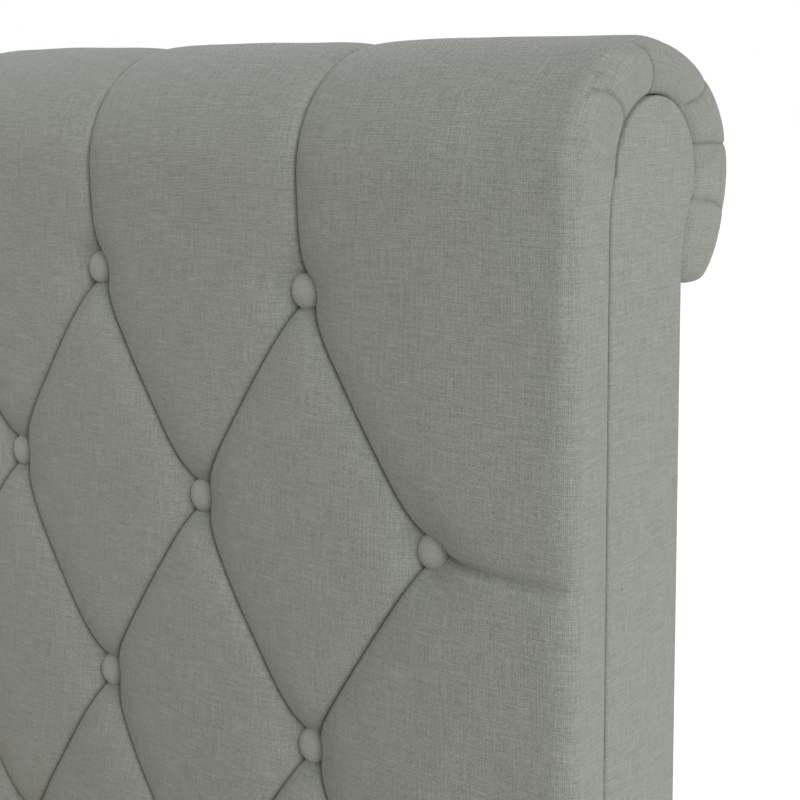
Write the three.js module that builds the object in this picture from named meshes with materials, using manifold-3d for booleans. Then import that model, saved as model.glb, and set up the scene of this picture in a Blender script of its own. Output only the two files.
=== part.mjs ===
// An upholstered sleigh bed for a 1500 by 2000 mattress. It has a scrolled headboard and a lower scrolled
// footboard, each a timber end frame under a foam pad that rolls over the top. Two padded side rails join
// them and carry the slats, with a centre beam under the middle.
// Millimetres, +X across the bed, +Y to the headboard, +Z up, origin on the floor under the bed's middle.
import * as THREE from "three";
import { mergeVertices } from "three/addons/utils/BufferGeometryUtils.js";
import Module from "manifold-3d";

const wasm = await Module();
wasm.setup();

// ---- Sizes that can be set on their own ----
const MATTRESS_WIDTH = 1500;
const MATTRESS_LENGTH = 2000;
const MATTRESS_SIDE_GAP = 10;
const MATTRESS_END_GAP = 17;
const HEAD_HEIGHT = 1200;
const FOOT_HEIGHT = 760;
const SLAT_TOP = 300; // height of the surface that the mattress lies on
const FEET_HEIGHT = 60;
const TOUCH = 0.3; // gap between pieces that touch when they are assembled

// The scroll's section, with depths counted back from the cheek panel's front edge and drops counted down
// from the crest.
const PAD_THICKNESS = 49; // foam in front of the face board
const CHEEK_DEPTH = 93; // the straight part of the end, front to back
const EYE_RADIUS = 51; // the round head of the cheek panel
const EYE_LEAN = 16; // how far the eye leans back past the straight part, at least
const EYE_SETBACK = 5; // how far the eye stays behind the front edge, at least
const EYE_BLEND = { leaving: 160, arriving: -25, length: 22 }; // degrees at which the eye runs into the edges
const CREST_PAD = 36.5; // foam over the top of the eye
const ROLL_PAD = 48; // foam behind the eye
const CREST_SETBACK = 14; // how far the crest lies in front of the eye's centre
const ROLL_TAIL = 10; // how far the roll hangs below the neck
const TAIL_WIDTH = 24; // flat underside of the hanging roll

// Timber, sheet and steel.
const CHEEK_THICKNESS = 12;
const BOARD_THICKNESS = 9;
const COVER_SETBACK = 2; // the end post stands this far inside the cheek panel's outline
const POST_WIDTH = 70;
const FRAME_RAIL = { depth: 45, height: 70 };
const TUBE_WALL = 6;
const RAIL_BOARD = { thickness: 32, bottom: 96, top: 362 };
const RAIL_PAD = { outside: 10, over: 8, under: 4, lip: 3, lipHeight: 36 };
const LEDGE = { width: 28, height: 40 };
const SLAT = { count: 11, width: 105, thickness: 18, edge: 4 };
const BEAM = { width: 45, height: 90 };
const HANGER = { wall: 3, reach: 45, wing: 22 };
const BRACKET = { leg: 80, flange: 40, thickness: 4, bottom: 112, height: 118 };
const BOLT = { radius: 4, hole: 4.3, length: 62, inset: 22 };
const BOLT_HEAD = { flange: 9, washer: 2, hex: 7.5, height: 5.5 };
const CENTRE_LEG = { side: 45, count: 2, spacing: 900 };
// A centre leg's foot, stored screwed down to the floor, from where it can be screwed up by its travel.
const LEVELLER = { travel: 14, stud: 5, clearance: 0.08, studLength: 60 };
const LEVELLER_PAD = { radius: 20, height: 9, neck: 8, neckHeight: 12 };
const CORNER_FOOT = { top: 62, bottom: 46 };

// ---- Places that follow from the sizes ----
const toRadians = Math.PI / 180;
const FRAME_DEPTH = CHEEK_DEPTH - BOARD_THICKNESS; // back face of the posts, where the back panel starts
const EYE = {
  depth: Math.max(CHEEK_DEPTH + EYE_LEAN - EYE_RADIUS, EYE_SETBACK + EYE_RADIUS),
  drop: CREST_PAD + EYE_RADIUS,
};
const CREST_DEPTH = EYE.depth - CREST_SETBACK;
const ROLL_BACK = EYE.depth + EYE_RADIUS + ROLL_PAD;
// Drops at which the cheek panel's straight edges start to lean into the eye.
const NECK = {
  front: EYE.drop - cornerRise(EYE_BLEND.leaving, 0, EYE_RADIUS) + EYE_BLEND.length,
  back: EYE.drop - cornerRise(EYE_BLEND.arriving, CHEEK_DEPTH, EYE_RADIUS) + EYE_BLEND.length,
};
const TAIL_DROP = NECK.back + ROLL_TAIL;
const INNER_HALF_WIDTH = MATTRESS_WIDTH / 2 + MATTRESS_SIDE_GAP;
const SEAM_Y = MATTRESS_LENGTH / 2 + MATTRESS_END_GAP + PAD_THICKNESS; // front edge of each cheek panel
const BOARD_INNER = INNER_HALF_WIDTH + RAIL_PAD.lip + TOUCH;
const BOARD_OUTER = BOARD_INNER + RAIL_BOARD.thickness;
const CHEEK_FACE = BOARD_OUTER + RAIL_PAD.outside + 2 * TOUCH; // outer face of the cheek panels
const CHEEK_BACK = CHEEK_FACE - CHEEK_THICKNESS;
const POST_OUTER = CHEEK_BACK - TOUCH;
const POST_INNER = POST_OUTER - POST_WIDTH;
const RAIL_LENGTH = 2 * (SEAM_Y - TOUCH);
const PAD_BOTTOM = RAIL_BOARD.top + RAIL_PAD.over + 2 * TOUCH + 4;
const SLAT_BOTTOM = SLAT_TOP - SLAT.thickness;
const BEAM_BOTTOM = SLAT_BOTTOM - TOUCH - BEAM.height;
const BOLT_X = INNER_HALF_WIDTH - BOLT.inset;
const BOLT_HEIGHTS = [0.27, 0.73].map((share) => BRACKET.bottom + share * BRACKET.height);

// ---- Materials ----
const finish = (color, roughness, metalness = 0) =>
  new THREE.MeshStandardMaterial({ color, roughness, metalness });
const LINEN = finish(0x8a8c85, 0.9);
const PINE = finish(0xd2ae7c, 0.7);
const CARD = finish(0x9b7d58, 0.9);
const STAINED = finish(0x3b2a20, 0.5);
const STEEL = finish(0x8f9296, 0.4, 0.9);
const PLASTIC = finish(0x26282a, 0.6);

// ---- Geometry helpers ----

// A closed geometry as a manifold-3d solid.
function solid(geometry) {
  const bare = geometry.clone();
  bare.deleteAttribute("normal");
  bare.deleteAttribute("uv");
  const merged = mergeVertices(bare, 1e-3);
  return new wasm.Manifold(
    new wasm.Mesh({
      numProp: 3,
      vertProperties: merged.attributes.position.array,
      triVerts: new Uint32Array(merged.index.array),
    }),
  );
}

function geometryOf(made) {
  const mesh = made.getMesh();
  const geometry = new THREE.BufferGeometry();
  geometry.setAttribute("position", new THREE.BufferAttribute(mesh.vertProperties, mesh.numProp));
  geometry.setIndex(new THREE.BufferAttribute(mesh.triVerts, 1));
  return geometry;
}

const join = (...geometries) => geometryOf(geometries.map(solid).reduce((a, b) => a.add(b)));
const cut = (body, ...tools) => geometryOf(tools.map(solid).reduce((a, b) => a.subtract(b), solid(body)));

// A box from its lowest corner to its highest one.
function box([x0, y0, z0], [x1, y1, z1]) {
  const middle = [(x0 + x1) / 2, (y0 + y1) / 2, (z0 + z1) / 2];
  return new THREE.BoxGeometry(x1 - x0, y1 - y0, z1 - z0).translate(...middle);
}

// A section drawn in depth (Y) and height (Z), carried across the bed from one X to another.
function acrossBed(section, from, to, curveSegments = 10) {
  const turn = new THREE.Matrix4().makeBasis(
    new THREE.Vector3(0, 1, 0),
    new THREE.Vector3(0, 0, 1),
    new THREE.Vector3(1, 0, 0),
  );
  return new THREE.ExtrudeGeometry(section, { depth: to - from, bevelEnabled: false, curveSegments })
    .applyMatrix4(turn)
    .translate(from, 0, 0);
}

// A section drawn in width (X) and height (Z), carried along the bed from one Y to another.
function alongBed(section, from, to) {
  return new THREE.ExtrudeGeometry(section, { depth: to - from, bevelEnabled: false, curveSegments: 3 })
    .rotateX(Math.PI / 2)
    .translate(0, to, 0);
}

// A straight rod along Y, its near end at y.
const rodAlong = (radius, length, x, y, z, sides = 16) =>
  new THREE.CylinderGeometry(radius, radius, length, sides).translate(0, length / 2, 0).translate(x, y, z);

// The height above the eye's centre at which its tangent at an angle crosses a depth, which is the corner
// that the blend rounds.
function cornerRise(degrees, depth, radius) {
  const angle = degrees * toRadians;
  const onEye = { y: EYE.depth + radius * Math.cos(angle), z: radius * Math.sin(angle) };
  return onEye.z - ((depth - onEye.y) * Math.cos(angle)) / Math.sin(angle);
}

// The outline of the cheek panel, grown by offset: straight edges that lean into the round eye at the top.
function cheekOutline(height, bottom, offset) {
  const radius = EYE_RADIUS + offset;
  const centre = { y: EYE.depth, z: height - EYE.drop };
  const onEye = (degrees) => [
    centre.y + radius * Math.cos(degrees * toRadians),
    centre.z + radius * Math.sin(degrees * toRadians),
  ];
  const front = -offset;
  const back = CHEEK_DEPTH + offset;
  const { leaving, arriving, length } = EYE_BLEND;
  const frontCorner = centre.z + cornerRise(leaving, front, radius);
  const backCorner = centre.z + cornerRise(arriving, back, radius);
  const outline = new THREE.Shape();
  outline.moveTo(back, bottom);
  outline.lineTo(back, backCorner - length);
  outline.quadraticCurveTo(back, backCorner, ...onEye(arriving));
  outline.absarc(centre.y, centre.z, radius, arriving * toRadians, leaving * toRadians, false);
  outline.quadraticCurveTo(front, frontCorner, front, frontCorner - length);
  outline.lineTo(front, bottom);
  return outline;
}

// The pad's section: a slab up the front, an ellipse to the crest, another down the back and a third in to
// the hanging tail.
function padSection(height) {
  const quarter = Math.PI / 2;
  const crestRise = TAIL_DROP * 0.57;
  const belly = height - EYE.drop;
  const tailDepth = CHEEK_DEPTH + TOUCH + TAIL_WIDTH;
  const inner = cheekOutline(height, PAD_BOTTOM, TOUCH).getPoints(10).reverse();
  const section = new THREE.Shape();
  section.moveTo(-PAD_THICKNESS, PAD_BOTTOM);
  for (const point of inner) {
    if (point.x < CHEEK_DEPTH || point.y > height - TAIL_DROP) section.lineTo(point.x, point.y);
  }
  section.lineTo(CHEEK_DEPTH + TOUCH, height - TAIL_DROP);
  section.lineTo(tailDepth, height - TAIL_DROP);
  const arc = (depth, z, across, up, turns) =>
    section.absellipse(depth, z, across, up, turns * quarter, (turns + 1) * quarter, false);
  arc(tailDepth, belly, ROLL_BACK - tailDepth, TAIL_DROP - EYE.drop, -1);
  arc(CREST_DEPTH, belly, ROLL_BACK - CREST_DEPTH, EYE.drop, 0);
  arc(CREST_DEPTH, height - crestRise, CREST_DEPTH + PAD_THICKNESS, crestRise, 1);
  return section;
}

function roundedBar(width, height, radius) {
  const bar = new THREE.Shape();
  const [x, z, quarter] = [width / 2 - radius, height / 2 - radius, Math.PI / 2];
  bar.moveTo(-x, -z - radius);
  bar.absarc(x, -z, radius, -quarter, 0, false);
  bar.absarc(x, z, radius, 0, quarter, false);
  bar.absarc(-x, z, radius, quarter, 2 * quarter, false);
  bar.absarc(-x, -z, radius, 2 * quarter, 3 * quarter, false);
  return bar;
}

// ---- Assembly ----
const bed = new THREE.Group();

function add(parent, name, geometry, material) {
  const mesh = new THREE.Mesh(geometry, material);
  mesh.name = name;
  parent.add(mesh);
  return mesh;
}

// One end of the bed, built as the headboard: depth runs along +Y from the cheek panels' front edge.
// leftSide is the sign of X, before the end is turned into place, on which the bed's left lies.
function endFrame(end, height, leftSide) {
  const group = new THREE.Group();
  const bottom = FEET_HEIGHT + TOUCH;
  const framed = { front: BOARD_THICKNESS + TOUCH, back: FRAME_DEPTH - TOUCH };
  const postBottom = bottom + COVER_SETBACK;
  const eyeHeight = height - EYE.drop;

  for (const side of [-1, 1]) {
    const label = `${end}_${side === leftSide ? "left" : "right"}`;
    const cheek = acrossBed(cheekOutline(height, postBottom, 0), CHEEK_BACK, CHEEK_FACE);
    const outline = acrossBed(cheekOutline(height, bottom, -COVER_SETBACK), POST_INNER, POST_OUTER);
    // The post is planed flat between the face board and the back panel, and fills the eye above them.
    const planed = box([POST_INNER - 1, framed.front, 0], [POST_OUTER + 1, framed.back, eyeHeight]);
    const eye = box([POST_INNER - 1, 0, eyeHeight], [POST_OUTER + 1, ROLL_BACK, height]);
    const blank = geometryOf(solid(outline).intersect(solid(planed).add(solid(eye))));
    const holes = BOLT_HEIGHTS.map((z) => rodAlong(BOLT.hole, BOLT.length, BOLT_X, 0, z));
    add(group, `${label}_cheek`, cheek, LINEN).scale.x = side;
    add(group, `${label}_post`, cut(blank, ...holes), PINE).scale.x = side;
    const halfDiagonals = [CORNER_FOOT.top / Math.SQRT2, CORNER_FOOT.bottom / Math.SQRT2];
    const foot = new THREE.CylinderGeometry(...halfDiagonals, FEET_HEIGHT, 4)
      .rotateY(Math.PI / 4)
      .rotateX(Math.PI / 2)
      .translate(side * (POST_INNER + POST_WIDTH / 2), (framed.front + framed.back) / 2, FEET_HEIGHT / 2);
    add(group, `${label}_foot`, foot, STAINED);
  }

  const span = POST_INNER - TOUCH;
  const crossRail = (name, z) => {
    const corner = [span, framed.front + FRAME_RAIL.depth, z + FRAME_RAIL.height];
    add(group, `${end}_${name}`, box([-span, framed.front, z], corner), PINE);
  };
  crossRail("bottom_rail", postBottom);
  crossRail("top_rail", eyeHeight - EYE_RADIUS - TOUCH - FRAME_RAIL.height);

  const tubeOuter = EYE_RADIUS - COVER_SETBACK;
  const ring = new THREE.Shape();
  ring.absarc(EYE.depth, eyeHeight, tubeOuter, 0, 2 * Math.PI, false);
  const bore = new THREE.Path();
  bore.absarc(EYE.depth, eyeHeight, tubeOuter - TUBE_WALL, 0, 2 * Math.PI, true);
  ring.holes.push(bore);
  add(group, `${end}_roll_tube`, acrossBed(ring, -span, span), CARD);

  const sheetHalf = POST_OUTER;
  const boardTop = height - NECK.front - COVER_SETBACK;
  const board = box([-sheetHalf, 0, bottom], [sheetHalf, BOARD_THICKNESS, boardTop]);
  const drill = 3 * BOARD_THICKNESS;
  const boardHole = (side, z) => rodAlong(BOLT.hole, drill, side * BOLT_X, -BOARD_THICKNESS, z);
  const boardHoles = [-1, 1].flatMap((side) => BOLT_HEIGHTS.map((z) => boardHole(side, z)));
  add(group, `${end}_face_board`, cut(board, ...boardHoles), LINEN);
  const backTop = height - NECK.back - COVER_SETBACK;
  const backPanel = box([-sheetHalf, FRAME_DEPTH, bottom], [sheetHalf, CHEEK_DEPTH, backTop]);
  add(group, `${end}_back_panel`, backPanel, LINEN);
  add(group, `${end}_pad`, acrossBed(padSection(height), -CHEEK_FACE, CHEEK_FACE), LINEN);

  // On the mattress side: a bracket and two bolts for each side rail, and a hanger for the centre beam.
  for (const side of [-1, 1]) {
    const label = `${end}_${side === leftSide ? "left" : "right"}`;
    const plate = box(
      [INNER_HALF_WIDTH - BRACKET.flange, -TOUCH - BRACKET.thickness, BRACKET.bottom],
      [BOARD_INNER - TOUCH, -TOUCH, BRACKET.bottom + BRACKET.height],
    );
    const leg = box(
      [BOARD_INNER - TOUCH - BRACKET.thickness, -TOUCH - BRACKET.leg, BRACKET.bottom],
      [BOARD_INNER - TOUCH, -TOUCH, BRACKET.bottom + BRACKET.height],
    );
    const through = 4 * BRACKET.thickness;
    const holes = BOLT_HEIGHTS.map((z) => rodAlong(BOLT.hole, through, BOLT_X, 1 - through, z));
    add(group, `${label}_bracket`, cut(join(plate, leg), ...holes), STEEL).scale.x = side;

    BOLT_HEIGHTS.forEach((z, i) => {
      const seat = -TOUCH - BRACKET.thickness - TOUCH;
      const bolt = join(
        rodAlong(BOLT.radius, BOLT.length, 0, -1, 0),
        rodAlong(BOLT_HEAD.flange, BOLT_HEAD.washer, 0, -BOLT_HEAD.washer, 0),
        rodAlong(BOLT_HEAD.hex, BOLT_HEAD.height + 1, 0, -BOLT_HEAD.washer - BOLT_HEAD.height, 0, 6),
      ).translate(side * BOLT_X, seat, z);
      add(group, `${label}_bolt_${i + 1}`, bolt, STEEL);
    });
  }
  const halfSlot = BEAM.width / 2 + TOUCH;
  const hangerBottom = BEAM_BOTTOM - TOUCH - HANGER.wall;
  const outer = halfSlot + HANGER.wall;
  const wing = outer + HANGER.wing;
  const hangerTop = BEAM_BOTTOM + BEAM.height * 0.8;
  const hanger = join(
    box([-outer, -TOUCH - HANGER.reach, hangerBottom], [-halfSlot, -TOUCH, hangerTop]),
    box([halfSlot, -TOUCH - HANGER.reach, hangerBottom], [outer, -TOUCH, hangerTop]),
    box([-outer, -TOUCH - HANGER.reach, hangerBottom], [outer, -TOUCH, hangerBottom + HANGER.wall]),
    box([-wing, -TOUCH - HANGER.wall, hangerBottom], [-halfSlot, -TOUCH, hangerTop]),
    box([halfSlot, -TOUCH - HANGER.wall, hangerBottom], [wing, -TOUCH, hangerTop]),
  );
  add(group, `${end}_beam_hanger`, hanger, STEEL);
  bed.add(group);
  return group;
}

function sideRail(side) {
  const label = side < 0 ? "left" : "right";
  const half = RAIL_LENGTH / 2;
  const { bottom, top } = RAIL_BOARD;
  const board = box([BOARD_INNER, -half, bottom], [BOARD_OUTER, half, top]);
  add(bed, `${label}_rail_board`, board, PINE).scale.x = side;

  // The padded cover wraps the board: a lip inside the top edge, then over, down the outside and under.
  const { outside, over, under, lip, lipHeight } = RAIL_PAD;
  const inside = BOARD_INNER - TOUCH;
  const outline = new THREE.Shape();
  const face = BOARD_OUTER + TOUCH + outside;
  outline.moveTo(inside - lip, top - lipHeight);
  outline.lineTo(inside, top - lipHeight);
  outline.lineTo(inside, top + TOUCH);
  outline.lineTo(BOARD_OUTER + TOUCH, top + TOUCH);
  outline.lineTo(BOARD_OUTER + TOUCH, bottom - TOUCH);
  outline.lineTo(inside, bottom - TOUCH);
  outline.lineTo(inside, bottom - TOUCH - under);
  outline.lineTo(face - over, bottom - TOUCH - under);
  outline.quadraticCurveTo(face, bottom - TOUCH - under, face, bottom - TOUCH - under + over);
  outline.lineTo(face, top + TOUCH);
  outline.quadraticCurveTo(face, top + TOUCH + over, face - over, top + TOUCH + over);
  outline.lineTo(inside - lip, top + TOUCH + over);
  add(bed, `${label}_rail_cover`, alongBed(outline, -half, half), LINEN).scale.x = side;

  const ledgeEnd = half - TOUCH;
  const ledgeTop = SLAT_BOTTOM - TOUCH;
  const ledgeFace = inside - LEDGE.width;
  const ledge = box([ledgeFace, -ledgeEnd, ledgeTop - LEDGE.height], [inside, ledgeEnd, ledgeTop]);
  add(bed, `${label}_slat_ledge`, ledge, PINE).scale.x = side;
}

function slatBase() {
  const halfSlat = INNER_HALF_WIDTH - 2;
  const run = 2 * SEAM_Y - 2 * PAD_THICKNESS;
  const pitch = run / SLAT.count;
  const section = roundedBar(SLAT.width, SLAT.thickness, SLAT.edge);
  for (let i = 0; i < SLAT.count; i += 1) {
    const slat = acrossBed(section, -halfSlat, halfSlat, 3);
    slat.translate(0, (i + 0.5) * pitch - run / 2, SLAT_BOTTOM + SLAT.thickness / 2);
    add(bed, `slat_${String(i + 1).padStart(2, "0")}`, slat, PINE);
  }

  const beamEnd = SEAM_Y - 2 * TOUCH;
  const halfBeam = BEAM.width / 2;
  const beam = box([-halfBeam, -beamEnd, BEAM_BOTTOM], [halfBeam, beamEnd, BEAM_BOTTOM + BEAM.height]);
  add(bed, "centre_beam", beam, PINE);

  const neckTop = LEVELLER_PAD.height + LEVELLER_PAD.neckHeight;
  for (let i = 0; i < CENTRE_LEG.count; i += 1) {
    const y = (i - (CENTRE_LEG.count - 1) / 2) * CENTRE_LEG.spacing;
    const half = CENTRE_LEG.side / 2;
    const legBottom = neckTop + TOUCH + LEVELLER.travel;
    const boreTop = neckTop + LEVELLER.studLength + LEVELLER.travel + 4;
    const boreRadius = LEVELLER.stud + LEVELLER.clearance;
    const bore = new THREE.CylinderGeometry(boreRadius, boreRadius, boreTop, 20)
      .rotateX(Math.PI / 2)
      .translate(0, y, boreTop / 2);
    const leg = cut(box([-half, y - half, legBottom], [half, y + half, BEAM_BOTTOM - TOUCH]), bore);
    add(bed, `centre_leg_${i + 1}`, leg, PINE);
    // A round pad, its neck and the stud that runs in the leg's bore, turned as one profile.
    const profile = [
      [0, 0],
      [LEVELLER_PAD.radius - 2, 0],
      [LEVELLER_PAD.radius, 2],
      [LEVELLER_PAD.radius, LEVELLER_PAD.height - 3],
      [LEVELLER_PAD.neck, LEVELLER_PAD.height],
      [LEVELLER_PAD.neck, neckTop],
      [LEVELLER.stud, neckTop],
      [LEVELLER.stud, neckTop + LEVELLER.studLength],
      [0, neckTop + LEVELLER.studLength],
    ].map(([r, z]) => new THREE.Vector2(r, z));
    const foot = new THREE.LatheGeometry(profile, 20).rotateX(Math.PI / 2).translate(0, y, 0);
    add(bed, `centre_leveller_${i + 1}`, foot, PLASTIC);
  }
}

endFrame("head", HEAD_HEIGHT, -1).position.y = SEAM_Y;
// The footboard is the same frame, lower and turned half round to face the headboard.
const footboard = endFrame("foot", FOOT_HEIGHT, 1);
footboard.rotation.z = Math.PI;
footboard.position.y = -SEAM_Y;
for (const side of [-1, 1]) sideRail(side);
slatBase();

export default bed;
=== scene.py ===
"""An upholstered sleigh bed in tufted linen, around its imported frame. Metres, +Y to the headboard, +Z up."""
import logging
import math
from dataclasses import dataclass, field
from enum import Enum
from typing import Any, Iterable, Optional, Sequence

import bmesh
import bpy
import numpy as np
from mathutils import Matrix, Vector


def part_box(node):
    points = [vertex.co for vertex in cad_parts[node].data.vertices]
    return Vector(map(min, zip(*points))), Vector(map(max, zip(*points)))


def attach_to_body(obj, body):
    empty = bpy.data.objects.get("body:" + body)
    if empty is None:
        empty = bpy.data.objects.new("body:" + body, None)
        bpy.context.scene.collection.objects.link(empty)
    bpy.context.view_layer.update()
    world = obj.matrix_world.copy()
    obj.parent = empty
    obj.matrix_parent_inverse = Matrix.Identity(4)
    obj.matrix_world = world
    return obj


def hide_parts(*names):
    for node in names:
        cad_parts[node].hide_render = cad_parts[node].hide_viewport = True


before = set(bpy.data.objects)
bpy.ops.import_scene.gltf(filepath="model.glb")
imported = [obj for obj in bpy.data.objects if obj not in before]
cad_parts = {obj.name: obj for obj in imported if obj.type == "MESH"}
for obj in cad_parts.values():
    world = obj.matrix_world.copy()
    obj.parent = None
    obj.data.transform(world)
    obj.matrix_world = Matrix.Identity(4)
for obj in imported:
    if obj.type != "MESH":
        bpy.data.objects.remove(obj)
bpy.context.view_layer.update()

LOG = logging.getLogger("sleigh_bed")
BODY = "bed_frame"
TOUCH = 0.0003  # the gap between cloth and what it lies against
Array = np.ndarray
Node = bpy.types.Node
Socket = bpy.types.NodeSocket
Material = bpy.types.Material
Piece = bpy.types.Object
Point = tuple[float, float, float]


class End(Enum):
    """The two ends of the bed. The value is the sign of Y at that end."""

    HEAD = 1
    FOOT = -1

    @property
    def label(self) -> str:
        """The end's name in the frame's node names."""
        return self.name.lower()


class Side(Enum):
    """The bed's left and right. The value is the sign of X."""

    LEFT = -1
    RIGHT = 1

    @property
    def label(self) -> str:
        """The side's name in the frame's node names."""
        return self.name.lower()


class Axis(Enum):
    """The direction in which a timber piece's grain runs."""

    X = 0
    Y = 1
    Z = 2


# ---- Node trees ----


class Value:
    """A number socket of a node tree, with its maths written as Python expressions."""

    def __init__(self, graph: "Graph", socket: Socket) -> None:
        """Wraps a socket of graph's tree."""
        self.graph = graph
        self.socket = socket

    def _math(self, operation: str, first: Any, second: Any = None) -> "Value":
        """Adds one Math node.

        Args:
            operation: the Math node's operation.
            first: its first operand, a Value or a number.
            second: its second operand, where it has one.

        Returns:
            The node's result.
        """
        values = {i: v for i, v in enumerate((first, second)) if v is not None}
        return self.graph.value("ShaderNodeMath", {"operation": operation}, values)

    def __add__(self, other: Any) -> "Value":
        """Self plus other."""
        return self._math("ADD", self, other)

    def __sub__(self, other: Any) -> "Value":
        """Self minus other."""
        return self._math("SUBTRACT", self, other)

    def __rsub__(self, other: Any) -> "Value":
        """Other minus self."""
        return self._math("SUBTRACT", other, self)

    def __mul__(self, other: Any) -> "Value":
        """Self times other."""
        return self._math("MULTIPLY", self, other)

    def __truediv__(self, other: Any) -> "Value":
        """Self over other."""
        return self._math("DIVIDE", self, other)

    def __pow__(self, other: Any) -> "Value":
        """Self to the power of other."""
        return self._math("POWER", self, other)

    __radd__ = __add__
    __rmul__ = __mul__

    def sine(self) -> "Value":
        """The sine of self, in radians."""
        return self._math("SINE", self)

    def floor(self) -> "Value":
        """Self rounded down."""
        return self._math("FLOOR", self)

    def modulo(self, other: Any) -> "Value":
        """The remainder of self over other, never below zero."""
        return self._math("FLOORED_MODULO", self, other)

    def magnitude(self) -> "Value":
        """Self without its sign."""
        return self._math("ABSOLUTE", self)

    def root(self) -> "Value":
        """The square root of self."""
        return self._math("SQRT", self)

    def bearing(self, other: Any) -> "Value":
        """The angle whose tangent is self over other."""
        return self._math("ARCTAN2", self, other)

    def above(self, other: Any) -> "Value":
        """1 where self is greater than other, and 0 elsewhere."""
        return self._math("GREATER_THAN", self, other)

    def over(self, low: float, high: float) -> "Value":
        """Self as a share of the way from low to high, kept between 0 and 1."""
        inputs = {0: self, 1: low, 2: high, 3: 0.0, 4: 1.0}
        return self.graph.value("ShaderNodeMapRange", {"clamp": True}, inputs)


class Graph:
    """A node tree under construction."""

    def __init__(self, tree: bpy.types.NodeTree) -> None:
        """Wraps the tree."""
        self.tree = tree

    def join(self, given: Any, socket: Socket) -> None:
        """Links a result to a socket, or sets the socket to a plain value.

        Args:
            given: a Value, a socket, a node whose first result is meant, or a plain value.
            socket: the socket that takes it.
        """
        if isinstance(given, Value):
            given = given.socket
        elif isinstance(given, Node):
            given = given.outputs[0]
        if isinstance(given, Socket):
            self.tree.links.new(given, socket)
        else:
            socket.default_value = given

    def node(self, kind: str, settings: Optional[dict] = None, inputs: Optional[dict] = None) -> Node:
        """Adds any node.

        Args:
            kind: the node's type.
            settings: what is set before its sockets, such as an operation.
            inputs: what is joined to its sockets, by name or number.

        Returns:
            The new node.
        """
        made = self.tree.nodes.new(kind)
        for name, setting in (settings or {}).items():
            setattr(made, name, setting)
        for name, given in (inputs or {}).items():
            self.join(given, made.inputs[name])
        return made

    def value(self, kind: str, settings: dict, inputs: dict, output: Any = 0) -> Value:
        """Adds a node and wraps one of its outputs."""
        return Value(self, self.node(kind, settings, inputs).outputs[output])

    def split(self, vector: Any) -> tuple[Value, Value, Value]:
        """The three parts of a vector."""
        made = self.node("ShaderNodeSeparateXYZ", {}, {0: vector})
        return tuple(Value(self, socket) for socket in made.outputs)

    def combine(self, *parts: Any) -> Socket:
        """A vector of up to three parts."""
        return self.node("ShaderNodeCombineXYZ", {}, dict(enumerate(parts))).outputs[0]


class Paint(Graph):
    """One procedural material under construction."""

    def __init__(self, name: str) -> None:
        """Starts a material of that name with a Principled shader."""
        self.material = bpy.data.materials.new(name)
        self.material.use_nodes = True
        super().__init__(self.material.node_tree)
        self.shader = self.tree.nodes["Principled BSDF"]

    def coordinates(self, source: str) -> Socket:
        """The UV or Object coordinates of the piece."""
        return self.node("ShaderNodeTexCoord").outputs[source]

    def stretched(self, vector: Socket, scale: Point, shift: Point = (0, 0, 0)) -> Socket:
        """A vector scaled and then moved, so that a pattern is stretched along an axis."""
        inputs = {"Vector": vector, "Scale": scale, "Location": shift}
        return self.node("ShaderNodeMapping", {}, inputs).outputs[0]

    def noise(self, vector: Socket, scale: float, detail: float = 2.0) -> Value:
        """Smooth noise from 0 to 1."""
        inputs = {"Vector": vector, "Scale": scale, "Detail": detail, "Roughness": 0.5}
        return self.value("ShaderNodeTexNoise", {}, inputs, "Fac")

    def streaks(self, vector: Socket, scale: Point, shift: Point = (0, 0, 0), detail: float = 1.0) -> Value:
        """Noise from 0 to 1 that is drawn out along an axis."""
        return self.noise(self.stretched(vector, scale, shift), 1.0, detail)

    def cells(self, vector: Socket, scale: float, feature: str = "F1") -> Value:
        """Distances within the cells of a Voronoi pattern."""
        inputs = {"Vector": vector, "Scale": scale}
        return self.value("ShaderNodeTexVoronoi", {"feature": feature}, inputs, "Distance")

    def mix(self, factor: Any, first: Any, second: Any) -> Socket:
        """Mixes two colours."""
        first, second = (given if isinstance(given, Socket) else (*given, 1.0) for given in (first, second))
        return self.node("ShaderNodeMix", {"data_type": "RGBA"}, {0: factor, 6: first, 7: second}).outputs[2]

    def layered(self, colour: Socket, layers: Iterable[tuple[Any, Point]]) -> Socket:
        """A colour with further ones laid over it in turn, each by its share."""
        for share, tint in layers:
            colour = self.mix(share, colour, tint)
        return colour

    def bump(self, height: Value, distance: float, strength: float) -> None:
        """Feeds a height in units of distance to the shader's normal."""
        inputs = {"Height": height, "Distance": distance, "Strength": strength}
        self.feed("Normal", self.node("ShaderNodeBump", {}, inputs))

    def feed(self, name: str, given: Any) -> None:
        """Joins what is given to one of the shader's sockets."""
        self.join(given, self.shader.inputs[name])


# ---- Finishes ----


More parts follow.
